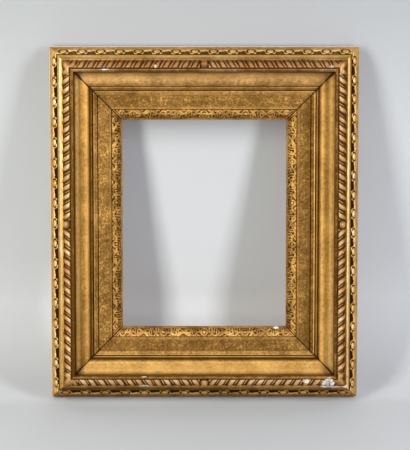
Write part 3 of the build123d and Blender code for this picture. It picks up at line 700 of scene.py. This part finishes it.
def rope(side, hand, seed):
    """Half a side's rope: broad slanted strands with a thin cord between them."""
    end = rope_end(side)
    rows = np.linspace(ROPE_START, end, int((end - ROPE_START) / ROPE_ROW_STEP))
    if hand < 0:
        rows = -rows[::-1]

    def relief(along, across):
        swell = 1.0 + bulge(across, 3.4) + 0.9 * ease(across, -3.0, -6.5)
        depth = twist(side, along, across, seed)
        low = ROPE_FLOOR[side]
        off = 0.35 + (swell - 0.2) * (low + (1 - low) * depth)
        wear = 0.16 * (1 + rough_noise(along / 4, across / 4, seed + 1))
        worn = 0.5 * ease(rough_noise(along / 14, across / 20, seed + 2), 0.25, 0.7) * depth
        rim = ease(np.minimum(np.abs(along) - ROPE_START, end - np.abs(along)), -0.1, 1.0)
        return np.maximum((off - wear - worn) * (0.75 + 0.25 * rim), LEAST_RELIEF)

    def looks(along, across, off):
        depth = twist(side, along, across, seed)
        patch = 0.5 + 0.5 * rough_noise(along / 20, across / 20, seed + 4)
        # The inner side, which faces the front, is painted paler as a highlight, and the outer side
        # darker as painted shade.
        high = ease(across, 2.5, -4.5)
        tone = 0.02 + 0.45 * high + 0.12 * depth + 0.1 * patch + ROPE_TONE_AND_SHADE[side]
        red = 0.3 + 0.45 * (1 - patch) + ROPE_RED[side] * high
        return tone, red, ROPE_GAP_DIRT_AND_SHADE[side] * (1 - depth) + 0.4 * (1 - high)

    def along_of(out):
        return np.broadcast_to(rows[:, None], (len(rows), out.shape[1]))

    across = np.linspace(-STRIP_HALF, STRIP_HALF, ROPE_COLUMNS)
    name = f"rope_{side}_" + ("a" if hand < 0 else "b")
    return strip(name, side, ROPE_SEAT, across, along_of, relief, looks)


# Rope button: radii of its rings of points, of its dome, of the groove round it and of its raised ring
BUTTON_RADII = (
    *(0.25, 0.6, 1.0, 1.4, 1.8, 2.2, 2.6, 2.9, 3.15),
    *(3.35, 3.6, 3.85, 4.1, 4.35, 4.55, 4.68, 4.72, 4.74),
)
BUTTON_POINTS = 60
BUTTON_DOME = 3.5
BUTTON_GROOVE = 3.45
BUTTON_RING = 4.1


def rope_button(side, seed):
    """A domed button with a ring round it."""
    turns = np.linspace(0, 2 * math.pi, BUTTON_POINTS + 1)[:-1]
    radii = np.array(BUTTON_RADII)
    dome = 2.7 + 1.9 * half_round(radii / BUTTON_DOME)
    dome = np.where(radii < 3.3, dome, 2.3)
    ring = np.clip(2.9 - 6.0 * (radii - BUTTON_RING) ** 2, 0.0, None)
    level = np.where(radii > BUTTON_DOME, ring, dome)
    level[-2:] = (1.2, 0.0)
    along = radii[:, None] * np.cos(turns)
    across = -radii[:, None] * np.sin(turns)
    off = np.maximum(level[:, None] - 0.12 * (1 + rough_noise(along / 3, across / 3, seed)), 0)
    off[-1] = 0
    points = placed(side, along, *seat_section(*ROPE_SEAT, across, off))
    hollow = np.where(np.abs(radii - BUTTON_GROOVE) < 0.2, 0.6, np.where(radii > 4.5, 0.5, 0.0))
    attributes = {
        "tone": 0.66 + ROPE_TONE_AND_SHADE[side],
        "red": 0.6 + ROPE_RED[side],
        "recess": hollow[:, None],
    }
    return add_mesh(f"rope_button_{side}_dome", points, tube_faces(*off.shape), attributes)


def leaf_arm(side, across, seed):
    """A corner leaf's arm in rows from its mitre: out, height and distance from it, relief, strands."""
    back = np.linspace(0, 1, LEAF_ROWS)[:, None]
    half = half_sizes(side)[0]
    swell = 1.0 + bulge(across, 3.7) + 0.8 * ease(across, -3.0, -6.5)
    off = swell
    for _ in range(3):
        out, height = seat_section(*ROPE_SEAT, across, off)
        reach = LEAF_LENGTH + out - ROPE_SEAT[0]
        away = back * reach
        depth = twist(side, half + out - away, across, seed)
        strands = (1 - depth) * ease(away, 3.0, 8.0)
        strands = strands * (0.4 + 0.6 * ease(across, -5.0, 1.0))
        vein = 0.4 * ridge(away, 0.8)
        stop = ease(reach - away, -0.1, 0.9)
        wear = 0.14 * (1 + rough_noise(away / 4, across / 4, 7))
        off = (swell * (1 - 0.6 * strands) - vein - wear) * (0.75 + 0.25 * stop)
        off = np.maximum(off, LEAST_RELIEF)
    out, height = seat_section(*ROPE_SEAT, across, off)
    return (out, height, away), off, strands


def round_corner(arm, other):
    """Rows of points from the end of one arm round the top right corner to the end of the other."""
    out, height, away = arm
    first = np.broadcast_arrays(HALF_WIDTH + out - away, -SEAT_FRONT - height, HALF_HEIGHT + out)
    out, height, away = other
    second = np.broadcast_arrays(HALF_WIDTH + out, -SEAT_FRONT - height, HALF_HEIGHT + out - away)
    return np.concatenate((np.stack(first, -1)[::-1], np.stack(second, -1)[1:])) * 0.001


def rope_leaf(name, right, top, seed):
    """A worn leaf bent round a rope corner. right and top are 1 or -1."""
    across = np.linspace(-STRIP_HALF, STRIP_HALF, LEAF_COLUMNS)[None]
    arm, arm_off, arm_strands = leaf_arm("top", across, seed)
    other, other_off, other_strands = leaf_arm("right", across, seed)
    low_out, low_height = seat_section(*ROPE_SEAT, across[:, [0, -1]], 0.0)
    low_away = np.linspace(0, 1, LEAF_ROWS)[:, None] * (LEAF_LENGTH + low_out - ROPE_SEAT[0])
    low = (low_out, low_height, low_away)
    mirror = np.array((right, 1, top))
    surface = round_corner(arm, other) * mirror
    foot = round_corner(low, low) * mirror
    faces = footed_faces(*surface.shape[:2])
    if right * top < 0:
        faces = [face[::-1] for face in faces]
    off = np.concatenate((arm_off[::-1], other_off[1:]))
    strands = np.concatenate((arm_strands[::-1], other_strands[1:]))
    upright = np.concatenate((np.zeros(LEAF_ROWS), np.ones(LEAF_ROWS - 1)))[:, None]
    deep = np.clip((blurred(off, 5) - off) * 1.1 + 0.5 * strands, 0, 1)
    # As on the rope, the inner side is painted paler as a highlight and the outer side darker as painted
    # shade; the upright arm is paler still.
    high = ease(across, 3.5, -3.5)
    attributes = with_foot(
        off.shape,
        {
            "tone": (0.1 + (0.28 + 0.2 * upright) * high, 0),
            "red": (0.78, 0),
            "recess": (np.clip(deep + 0.3 * (1 - high), 0, 1), 0.9),
            "up": (0.2 * max(0, top), 0),
            "loss": (loss_field(surface), 0),
        },
    )
    points = np.concatenate((surface.reshape(-1, 3), foot[:, 0], foot[:, 1]))
    return add_mesh(name + "_worn", points, faces, attributes, RELIEF_SHARP)


# Sight leaf: strokes of one repeat, as points (along, across) with a half width and a height
SIGHT_INNER = 2.0 / math.cos(SIGHT_TILT)
SIGHT_OUTER = SIGHT_WIDTH / math.cos(SIGHT_TILT) - 0.6
SIGHT_ROW_STEP = 0.36
SIGHT_COLUMNS = 35
STROKE_SPREAD = 1.2  # widens all strokes
SCROLL = (
    *((3.0, 5.2), (6.0, 6.6), (9.0, 8.6), (12.4, 8.9)),
    *((15.0, 7.4), (15.6, 5.2), (14.0, 3.8), (12.2, 4.6)),
)
STROKES = (
    (((-5.2, 1.0), (-2.2, 3.6), (2.2, 6.8), (5.4, 9.6)), 1.15, 1.15),
    (((-5.4, 9.6), (-2.2, 6.8), (2.2, 3.6), (5.2, 1.0)), 1.15, 1.15),
    (SCROLL, 0.95, 1.2),
    (((6.4, 7.4), (6.2, 9.0), (7.6, 10.2)), 0.8, 1.1),
    (((9.2, 9.0), (9.8, 10.3), (11.4, 10.4)), 0.8, 1.15),
    (((12.8, 9.2), (13.8, 10.4), (15.4, 10.2)), 0.8, 1.15),
    (((15.6, 7.8), (17.2, 9.4), (18.8, 10.0)), 0.8, 1.1),
    (((6.6, 5.6), (7.0, 3.6), (5.8, 1.6)), 0.85, 0.95),
    (((9.6, 6.4), (9.6, 4.0), (8.6, 1.4)), 0.85, 1.0),
    (((12.0, 4.4), (12.2, 2.8), (11.2, 1.0)), 0.8, 0.95),
    (((15.4, 4.4), (15.6, 2.8), (14.6, 1.0)), 0.8, 0.95),
    (((15.6, 5.6), (18.4, 5.2), (21.0, 5.2)), 1.0, 1.0),
    (((18.4, 4.6), (18.8, 2.8), (17.8, 1.2)), 0.8, 0.9),
    (((20.6, 6.4), (21.6, 8.2), (24.0, 9.2), (26.4, 8.2)), 0.85, 1.15),
    (((20.6, 4.0), (21.6, 2.4), (24.0, 1.4), (26.4, 2.4)), 0.85, 0.95),
    (((22.0, 10.2), (24.0, 10.5), (26.0, 10.2)), 0.6, 0.9),
)
# Knobs: along, across, radius and height
KNOBS = ((0.0, 5.2, 1.7, 1.45), (24.0, 5.2, 2.0, 1.5), (13.6, 6.4, 1.0, 1.0))
REPEAT = 48.0
TILE_STEP = 0.2
TILE_ALONG = np.arange(0, REPEAT / 2 + 0.001, TILE_STEP)
TILE_ACROSS = np.arange(0, 10.4 + 0.001, TILE_STEP)


def sight_tile():
    """The height of half a repeat over a fine grid. The other half mirrors it."""
    along, across = np.meshgrid(TILE_ALONG, TILE_ACROSS, indexing="ij")
    height = np.zeros(along.shape)
    for points, wide, tall in STROKES:
        away = np.full(along.shape, 99.0)
        for (ax, ay), (bx, by) in zip(points, points[1:]):
            dx, dy = bx - ax, by - ay
            t = ((along - ax) * dx + (across - ay) * dy) / (dx**2 + dy**2)
            t = np.clip(t, 0, 1)
            away = np.minimum(away, np.hypot(along - ax - t * dx, across - ay - t * dy))
        height = np.maximum(height, tall * half_round(away / (STROKE_SPREAD * wide)))
    for x, y, wide, tall in KNOBS:
        away = np.hypot(along - x, across - y)
        height = np.maximum(height, tall * half_round(away / wide))
    return height


SIGHT_TILE = sight_tile()


def sight_leaf(side, seed):
    """Low leaf scrolls, crossed ties and knobs on the sight slope."""
    half = half_sizes(side)[0]
    pitch = 2 * half / round(2 * half / REPEAT)

    def relief(along, across):
        u = np.abs((along + half) % pitch - pitch / 2) * REPEAT / pitch
        u = u + 0.9 * noise(along / 6, across / 6, seed)
        v = across - SIGHT_INNER + 0.7 * noise(along / 5, across / 5, seed + 1)
        u = np.clip(u, 0, TILE_ALONG[-1]) / TILE_STEP
        v = np.clip(v, 0, TILE_ACROSS[-1]) / TILE_STEP
        iu = np.clip(u.astype(int), 0, SIGHT_TILE.shape[0] - 2)
        iv = np.clip(v.astype(int), 0, SIGHT_TILE.shape[1] - 2)
        fu, fv = u - iu, v - iv
        low = SIGHT_TILE[iu, iv] * (1 - fu) + SIGHT_TILE[iu + 1, iv] * fu
        high = SIGHT_TILE[iu, iv + 1] * (1 - fu) + SIGHT_TILE[iu + 1, iv + 1] * fu
        off = low * (1 - fv) + high * fv
        wear = 0.12 * (1 + rough_noise(along / 3, across / 3, seed + 2))
        lumps = 0.35 * rough_noise(along / 2.6, across / 2.6, seed + 3)
        to_corner = half + across - np.abs(along)
        rays = 0.7 + 0.6 * np.cos(to_corner * 2 * math.pi / 2.9)
        near = ease(to_corner, 8.0, 6.0)
        off = off * (1 - near) + rays * near
        return np.clip(0.85 + off * 0.8 - wear + 1.3 * lumps, 0.2, 2.2)

    def looks(along, across, off):
        patch = 0.5 + 0.5 * rough_noise(along / 30, across / 30, seed + 4)
        inner = ease(across, 9.0, 5.0)
        spots = 0.3 * rough_noise(along / 4.5, across / 4.5, seed + 6)
        tone = 0.5 + SIGHT_LIFT[side] - 0.28 * inner + spots
        return tone, 0.12 + 0.4 * patch, 0.1 * inner - 0.5 * spots

    across = np.linspace(SIGHT_INNER, SIGHT_OUTER, SIGHT_COLUMNS)
    along_of = mitred(side, OPEN_MITRE, SIGHT_ROW_STEP)
    return strip(f"leaf_strip_{side}", side, SIGHT_SEAT, across, along_of, relief, looks)


# Materials
class Graph:
    """A material's node tree, with short calls for the nodes used here."""

    def __init__(self, name):
        self.material = bpy.data.materials.new(name)
        self.material.use_nodes = True
        self.tree = self.material.node_tree
        self.shader = self.tree.nodes["Principled BSDF"]
        self.spot = self.add("ShaderNodeTexCoord").outputs["Object"]

    def add(self, kind, inputs=None):
        """A new node of a kind, with its inputs linked or set."""
        node = self.tree.nodes.new(kind)
        for key, value in (inputs or {}).items():
            self.feed(node.inputs[key], value)
        return node

    def feed(self, socket, value):
        """Links a socket to another, or sets it to a constant."""
        if isinstance(value, bpy.types.NodeSocket):
            self.tree.links.new(value, socket)
        else:
            socket.default_value = value

    def value(self, name):
        """A point attribute."""
        node = self.add("ShaderNodeAttribute")
        node.attribute_name = name
        return node.outputs["Fac"]

    def calc(self, operation, a, b):
        node = self.add("ShaderNodeMath", {0: a, 1: b})
        node.operation = operation
        return node.outputs[0]

    def plus(self, a, b):
        return self.calc("ADD", a, b)

    def times(self, a, b):
        return self.calc("MULTIPLY", a, b)

    def rest(self, a, share=1.0):
        """What is left of 1 after a share of a value."""
        return self.calc("SUBTRACT", 1.0, self.times(a, share))

    def swing(self, grain, reach):
        """Noise about 0 rather than about 0.5, times its reach."""
        return self.times(self.calc("SUBTRACT", grain, 0.5), reach)

    def grain(self, scale, detail=3.0, roughness=0.55, stretch=None):
        """Noise from 0 to 1 in the object's own axes."""
        spot = self.spot
        if stretch:
            spot = self.add("ShaderNodeMapping", {"Vector": spot, "Scale": stretch}).outputs[0]
        inputs = {"Vector": spot, "Scale": scale, "Detail": detail, "Roughness": roughness}
        return self.add("ShaderNodeTexNoise", inputs).outputs["Fac"]

    def step(self, value, low, high):
        node = self.add("ShaderNodeMapRange", {"Value": value, "From Min": low, "From Max": high})
        node.interpolation_type = "SMOOTHSTEP"
        return node.outputs["Result"]

    def blend(self, share, a, b):
        node = self.add("ShaderNodeMix", {0: share})
        node.data_type = "RGBA"
        for key, colour in ((6, a), (7, b)):
            linked = isinstance(colour, bpy.types.NodeSocket)
            self.feed(node.inputs[key], colour if linked else (*colour, 1))
        return node.outputs[2]

    def ramp(self, share, stops):
        """A colour ramp. Its two ends come first, then the stops between them."""
        node = self.add("ShaderNodeValToRGB", {"Fac": share})
        ends = node.color_ramp.elements
        for i, (place, colour) in enumerate(stops):
            element = ends[i] if i < 2 else ends.new(place)
            element.position = place
            element.color = (*colour, 1)
        return node.outputs["Color"]

    def bump(self, height, strength, distance):
        inputs = {"Height": height, "Strength": strength, "Distance": distance}
        normal = self.add("ShaderNodeBump", inputs).outputs["Normal"]
        self.feed(self.shader.inputs["Normal"], normal)

    def finish(self, colour, metallic, roughness):
        self.feed(self.shader.inputs["Base Color"], colour)
        self.feed(self.shader.inputs["Metallic"], metallic)
        self.feed(self.shader.inputs["Roughness"], roughness)
        return self.material


# Colours of the gilding between its darkest and its palest
GOLD = ((0.3, (0.355, 0.185, 0.048)), (0.55, (0.625, 0.333, 0.083)), (0.78, (0.86, 0.505, 0.15)))
WARM_GOLD = ((0.3, (0.36, 0.178, 0.04)), (0.55, (0.635, 0.33, 0.08)), (0.78, (0.87, 0.48, 0.122)))
DUSTY_GOLD = ((0.3, (0.355, 0.19, 0.058)), (0.55, (0.615, 0.348, 0.115)), (0.78, (0.85, 0.52, 0.19)))
DARK_GOLD = (0.115, 0.048, 0.006)
RED_GROUND = [
    (0.1, (0.26, 0.085, 0.02)),
    (0.95, (0.80, 0.56, 0.34)),
    (0.4, (0.42, 0.185, 0.06)),
    (0.65, (0.53, 0.3, 0.13)),
]
GESSO = [(0.3, (0.62, 0.58, 0.52)), (0.6, (0.86, 0.85, 0.83))]
BARE_WOOD = [(0.3, (0.10, 0.058, 0.028)), (0.7, (0.24, 0.145, 0.075))]
GRIT = (0.17, 0.08, 0.017)
# Dirt with painted shade in recesses, then near-black painted shade in the deepest ones
DIRT_AND_SHADE = (0.07, 0.026, 0.003)
DEEP_SHADE = (0.02, 0.008, 0.001)
DUST = (0.24, 0.19, 0.135)
BARE_EDGE = (0.72, 0.62, 0.50)
SHEEN = (1.0, 0.78, 0.45, 1)


def gilding(name, polish, pale, middle=GOLD, deep_shade=0.0):
    """Old gilding over red ground, with patina and painted shade in the recesses, dust, and white
    losses.
    """
    g = Graph(name)
    cloud = g.grain(38, 3)
    mottle = g.grain(210, 4, 0.6)
    fleck = g.grain(900, 3, 0.6)
    speck = g.grain(620, 2, 0.6)
    sand = g.value("sand")
    hollow = g.value("recess")
    up = g.value("up")
    tone = g.plus(g.value("tone"), g.swing(cloud, 0.7))
    tone = g.plus(tone, g.swing(mottle, 0.6))
    tone = g.plus(tone, g.swing(g.grain(430, 3, 0.7), g.plus(0.5, g.times(sand, 0.9))))
    gold = g.ramp(tone, [(0.0, DARK_GOLD), (1.0, pale), *middle])
    grit = g.times(g.step(speck, 0.4, 0.6), g.times(sand, 0.85))
    colour = g.blend(grit, gold, GRIT)
    worn = g.step(g.plus(g.value("red"), g.swing(mottle, 1.2)), 0.42, 0.95)
    colour = g.blend(g.times(worn, 0.85), colour, g.ramp(tone, RED_GROUND))
    # Recesses darken with dirt and painted shade, and stains darken at random
    dirt_and_shade = g.step(g.plus(hollow, g.swing(mottle, 0.5)), 0.12, 0.72)
    stains = g.times(g.step(g.grain(260, 2, 0.5), 0.66, 0.74), 0.6)
    dirt_and_shade = g.calc("MAXIMUM", dirt_and_shade, stains)
    colour = g.blend(g.times(dirt_and_shade, 0.9), colour, DIRT_AND_SHADE)
    # The deepest recesses go near-black, as painted shade
    colour = g.blend(g.times(g.step(hollow, 0.7, 1.0), deep_shade), colour, DEEP_SHADE)
    dust = g.times(up, g.step(cloud, 0.3, 0.7))
    colour = g.blend(g.times(dust, 0.45), colour, DUST)
    colour = g.blend(g.step(up, 0.75, 1.15), colour, BARE_EDGE)
    chip = g.step(g.plus(g.value("loss"), g.swing(fleck, 0.6)), 0.46, 0.56)
    colour = g.blend(chip, colour, g.ramp(mottle, GESSO))
    bare = g.rest(g.value("gilt"))
    colour = g.blend(bare, colour, g.ramp(g.grain(60, 4, 0.6), BARE_WOOD))
    shine = g.times(g.rest(dirt_and_shade, 0.9), g.rest(worn, 0.55))
    shine = g.times(shine, g.rest(g.calc("MAXIMUM", chip, bare)))
    shine = g.times(shine, g.rest(dust, 0.6))
    shine = g.times(shine, polish)
    gloss = g.times(g.rest(dirt_and_shade, 0.84), 0.02 + 0.48 * polish**2)
    g.feed(g.shader.inputs["Specular IOR Level"], gloss)
    g.shader.inputs["Specular Tint"].default_value = SHEEN
    roughness = g.calc("SUBTRACT", 0.66, g.times(shine, 0.28))
    roughness = g.plus(roughness, g.swing(mottle, 0.2))
    relief = g.plus(g.times(mottle, 0.5), g.times(fleck, 0.35))
    relief = g.plus(relief, g.times(speck, g.times(sand, 1.6)))
    g.bump(relief, 0.35, 0.0004)
    return g.finish(colour, g.times(shine, 0.72), roughness)


PINE = [(0.34, (0.115, 0.062, 0.028)), (0.66, (0.36, 0.225, 0.115)), (0.5, (0.235, 0.137, 0.066))]
PINE_STAIN = (0.09, 0.055, 0.03)


def timber(name, stretch):
    """Old unpainted pine, with grain along the rail."""
    g = Graph(name)
    rings = g.grain(14, 5, 0.6, stretch)
    fibre = g.grain(60, 4, 0.65, stretch)
    stain = g.grain(22, 3)
    share = g.plus(g.times(rings, 0.7), g.times(fibre, 0.3))
    colour = g.blend(g.times(g.step(stain, 0.52, 0.75), 0.55), g.ramp(share, PINE), PINE_STAIN)
    g.bump(share, 0.4, 0.0006)
    return g.finish(colour, 0.0, g.plus(0.6, g.times(fibre, 0.3)))


def metal(name, bright, dull, spots, shine):
    """An aged metal with clouded tarnish."""
    g = Graph(name)
    cloud = g.grain(160, 4, 0.6)
    pit = g.grain(1100, 3, 0.6)
    colour = g.blend(g.step(cloud, 0.38, 0.66), bright, dull)
    colour = g.blend(g.times(g.step(pit, 0.58, 0.72), 0.6), colour, spots)
    metallic = g.calc("SUBTRACT", shine, g.times(g.step(cloud, 0.45, 0.75), 0.4))
    g.bump(pit, 0.15, 0.0002)
    return g.finish(colour, metallic, g.plus(0.3, g.times(cloud, 0.4)))


gilt = gilding("old_gilding", 1.0, (1.0, 0.82, 0.48))
dull_gilt = gilding("dull_gilding", 0.6, (0.97, 0.79, 0.48), deep_shade=0.9)
matt_gilt = gilding("matt_gilding", 0.4, (1.0, 0.65, 0.22))
warm_gilt = gilding("warm_gilding", 0.4, (1.0, 0.61, 0.2), WARM_GOLD)
dusty_gilt = gilding("dusty_gilding", 0.4, (1.0, 0.69, 0.3), DUSTY_GOLD)
cove_gilt = per_side(warm_gilt, warm_gilt, dusty_gilt, matt_gilt)
pine_across = timber("pine_across", (0.6, 9.0, 9.0))
pine_upright = timber("pine_upright", (9.0, 9.0, 0.6))
brass = metal("tarnished_brass", (0.58, 0.40, 0.16), (0.26, 0.165, 0.07), (0.10, 0.07, 0.035), 1.0)
iron = metal("old_iron", (0.20, 0.18, 0.165), (0.10, 0.075, 0.055), (0.16, 0.07, 0.03), 0.85)

# Bands of a section, from out to out, where the recess darkening of dirt and painted shade is weaker
GROOVE_BAND = (27.2, 28.9)
EDGE_BAND = (36.5, 38.0)
ROPE_BAND = (68.1, 69.5)
LINER_SWEPT = per_side((), (), (GROOVE_BAND, EDGE_BAND), (GROOVE_BAND,))
RIM_SWEPT = per_side((ROPE_BAND,), (), (ROPE_BAND,), (ROPE_BAND,))
RIM_STREAKS = 0.1
CORNERS = (("top_right", 1, 1), ("bottom_right", 1, -1), ("bottom_left", -1, -1), ("top_left", -1, 1))

# The mouldings and their ornament
for k, side in enumerate(SIDES):
    seed = 100 * (k + 1)
    node = f"liner_{side}"
    face = rail(node, side, liner_path(side), LINER_BACK, OPEN_MITRE, seed, swept=LINER_SWEPT[side])
    dress(face, node, matt_gilt)
    node = f"cove_{side}"
    face = rail(node, side, cove_path(side), COVE_BACK, OPEN_MITRE, seed + 20, COVE_FADE[side])
    dress(face, node, cove_gilt[side])
    node = f"rim_{side}"
    wear = (RIM_FADE[side], RIM_STREAKS, RIM_SWEPT[side])
    face = rail(node, side, rim_path(side), RIM_BACK, 0, seed + 40, *wear)
    dress(face, node, gilt)
    dress(ribbon(side, seed + 60), f"ribbon_{side}", dull_gilt)
    dress(sight_leaf(side, seed + 70), f"leaf_strip_{side}", dull_gilt)
    dress(rope(side, -1, seed + 80), f"rope_{side}_a", gilt)
    dress(rope(side, 1, seed + 85), f"rope_{side}_b", gilt)
    dress(rope_button(side, seed + 90), f"rope_button_{side}", gilt)
for corner, right, top in CORNERS:
    node = f"rope_leaf_{corner}"
    dress(rope_leaf(node, right, top, 500 + 2 * right + top), node, gilt)

# The back frame and the fittings keep their CAD shapes
IRON_NODES = ("lap_nails", "liner_brads", "turn_button_screws", "hanger_screws")
for name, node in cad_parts.items():
    if node.hide_render:
        continue
    if name.startswith("back_frame"):
        material = pine_upright if name.endswith(("left", "right")) else pine_across
    elif name in IRON_NODES:
        material = iron
    else:
        material = brass
    node.data.materials.clear()
    node.data.materials.append(material)


# Stage, in metres: the frame's top leans on a pale wall that sweeps into a pale floor
LEAN = math.radians(14.5)
FRAME_HEIGHT = 0.4129
SWEEP = 0.09
STAGE_REACH = 3
WALL_HEIGHT = 2.5
STAGE_TINT = (0.985, 0.995, 1.02)
# The stage's shades by height on it, its two ends first. They paint light and shade: palest about
# halfway between the frame's middle and its foot, darker higher up, and a step lighter where the frame
# stands, to lift its contact shadow
STAGE_LIGHT_AND_SHADE = (
    *((0.0, 0.53), (1.0, 0.42), (0.075, 0.54), (0.0865, 0.6), (0.14, 0.62)),
    *((0.3, 0.73), (0.42, 0.64), (0.58, 0.58), (0.7, 0.545)),
)


def stage_material():
    """A pale surface with painted light and shade by height, open from behind and to lamps behind it."""
    g = Graph("pale_stage")
    place = g.add("ShaderNodeSeparateXYZ", {0: g.spot})
    cloud = g.swing(g.grain(3.0, 2), 0.05)
    share = g.plus(g.plus(g.times(place.outputs["Z"], 2.0), 0.5), cloud)
    colour = g.ramp(share, [(s, [v * tint for tint in STAGE_TINT]) for s, v in STAGE_LIGHT_AND_SHADE])
    g.finish(colour, 0.0, 0.9)
    clear = g.add("ShaderNodeBsdfTransparent")
    behind = g.add("ShaderNodeNewGeometry").outputs["Backfacing"]
    shadow = g.add("ShaderNodeLightPath").outputs["Is Shadow Ray"]
    inputs = {0: g.calc("MAXIMUM", behind, shadow), 1: g.shader.outputs[0], 2: clear.outputs[0]}
    mix = g.add("ShaderNodeMixShader", inputs)
    g.feed(g.tree.nodes["Material Output"].inputs["Surface"], mix.outputs[0])
    return g.material


def leaned(depth, rise):
    """A point of the room, from the frame's lower back edge, in the frame's own axes."""
    return (
        depth * math.cos(LEAN) - rise * math.sin(LEAN),
        depth * math.sin(LEAN) + rise * math.cos(LEAN) - FRAME_HEIGHT / 2,
    )


def stage_piece(name, profile, material):
    """A wide surface of one profile, its face to the room."""
    points = [(x, *leaned(*p)) for p in profile for x in (-STAGE_REACH, STAGE_REACH)]
    faces = [[2 * i, 2 * i + 1, 2 * i + 3, 2 * i + 2] for i in range(len(profile) - 1)]
    mesh = bpy.data.meshes.new(name)
    mesh.from_pydata(points, [], faces)
    mesh.polygons.foreach_set("use_smooth", np.ones(len(faces), bool))
    mesh.materials.append(material)
    new_object(name, mesh)


WALL = FRAME_HEIGHT * math.sin(LEAN) + 0.0005
bend = [math.radians(a) for a in range(0, 91, 6)]
sweep = [(WALL - SWEEP + SWEEP * math.sin(a), SWEEP - SWEEP * math.cos(a)) for a in bend]
pale = stage_material()
stage_piece("sweep", [(-STAGE_REACH, 0), *sweep, (WALL, WALL_HEIGHT)], pale)
stage_piece("floor_behind", [(WALL, 0), (STAGE_REACH, 0)], pale)


# Light: a soft box on each side, a weak one behind, and a dim room
def soft_box(name, place, width, tall, power, colour):
    """A lamp aimed at the frame's middle."""
    lamp = bpy.data.lights.new(name, "AREA")
    lamp.shape = "RECTANGLE"
    lamp.size = width
    lamp.size_y = tall
    lamp.energy = power
    lamp.color = colour
    box = new_object(name, lamp)
    box.location = place
    box.rotation_euler = (-Vector(place)).to_track_quat("-Z", "Y").to_euler()


soft_box("left_box", (-0.465, -0.70, 0.2), 0.18, 0.75, 6.8, (0.985, 1.0, 0.95))
soft_box("right_box", (0.63, -0.70, 0.2), 0.18, 0.75, 7.0, (0.94, 0.97, 1.02))
soft_box("rear_box", (0.1, 1.6, 0.4), 1.0, 1.0, 14, (1.0, 1.0, 1.0))

world = bpy.data.worlds.new("room")
bpy.context.scene.world = world
world.use_nodes = True
tree = world.node_tree
backdrop = tree.nodes["Background"]
path = tree.nodes.new("ShaderNodeLightPath")
seen = tree.nodes.new("ShaderNodeMapRange")
rays = path.outputs["Is Camera Ray"]
for kind in ("Is Glossy Ray", "Is Transmission Ray"):
    either = tree.nodes.new("ShaderNodeMath")
    either.operation = "MAXIMUM"
    tree.links.new(rays, either.inputs[0])
    tree.links.new(path.outputs[kind], either.inputs[1])
    rays = either.outputs[0]
tree.links.new(rays, seen.inputs["Value"])
seen.inputs["To Min"].default_value = 0.05
seen.inputs["To Max"].default_value = 0.28
tree.links.new(seen.outputs["Result"], backdrop.inputs["Strength"])
backdrop.inputs["Color"].default_value = (1.0, 1.0, 1.0, 1)

# Camera: slightly above the frame's square-on view
RISE = math.radians(4)
DISTANCE = 1.648
CREST_DEPTH = -0.046
AIM_ACROSS = 0.0008
camera_data = bpy.data.cameras.new("camera")
camera_data.lens = 114.4
camera_data.sensor_width = 36.0
camera = new_object("camera", camera_data)
camera.location = (0.0, CREST_DEPTH - DISTANCE * math.cos(RISE), DISTANCE * math.sin(RISE))
aim = Vector((AIM_ACROSS, CREST_DEPTH, 0.0)) - camera.location
camera.rotation_euler = aim.to_track_quat("-Z", "Y").to_euler()
bpy.context.scene.camera = camera
bpy.context.scene.view_settings.view_transform = "Standard"
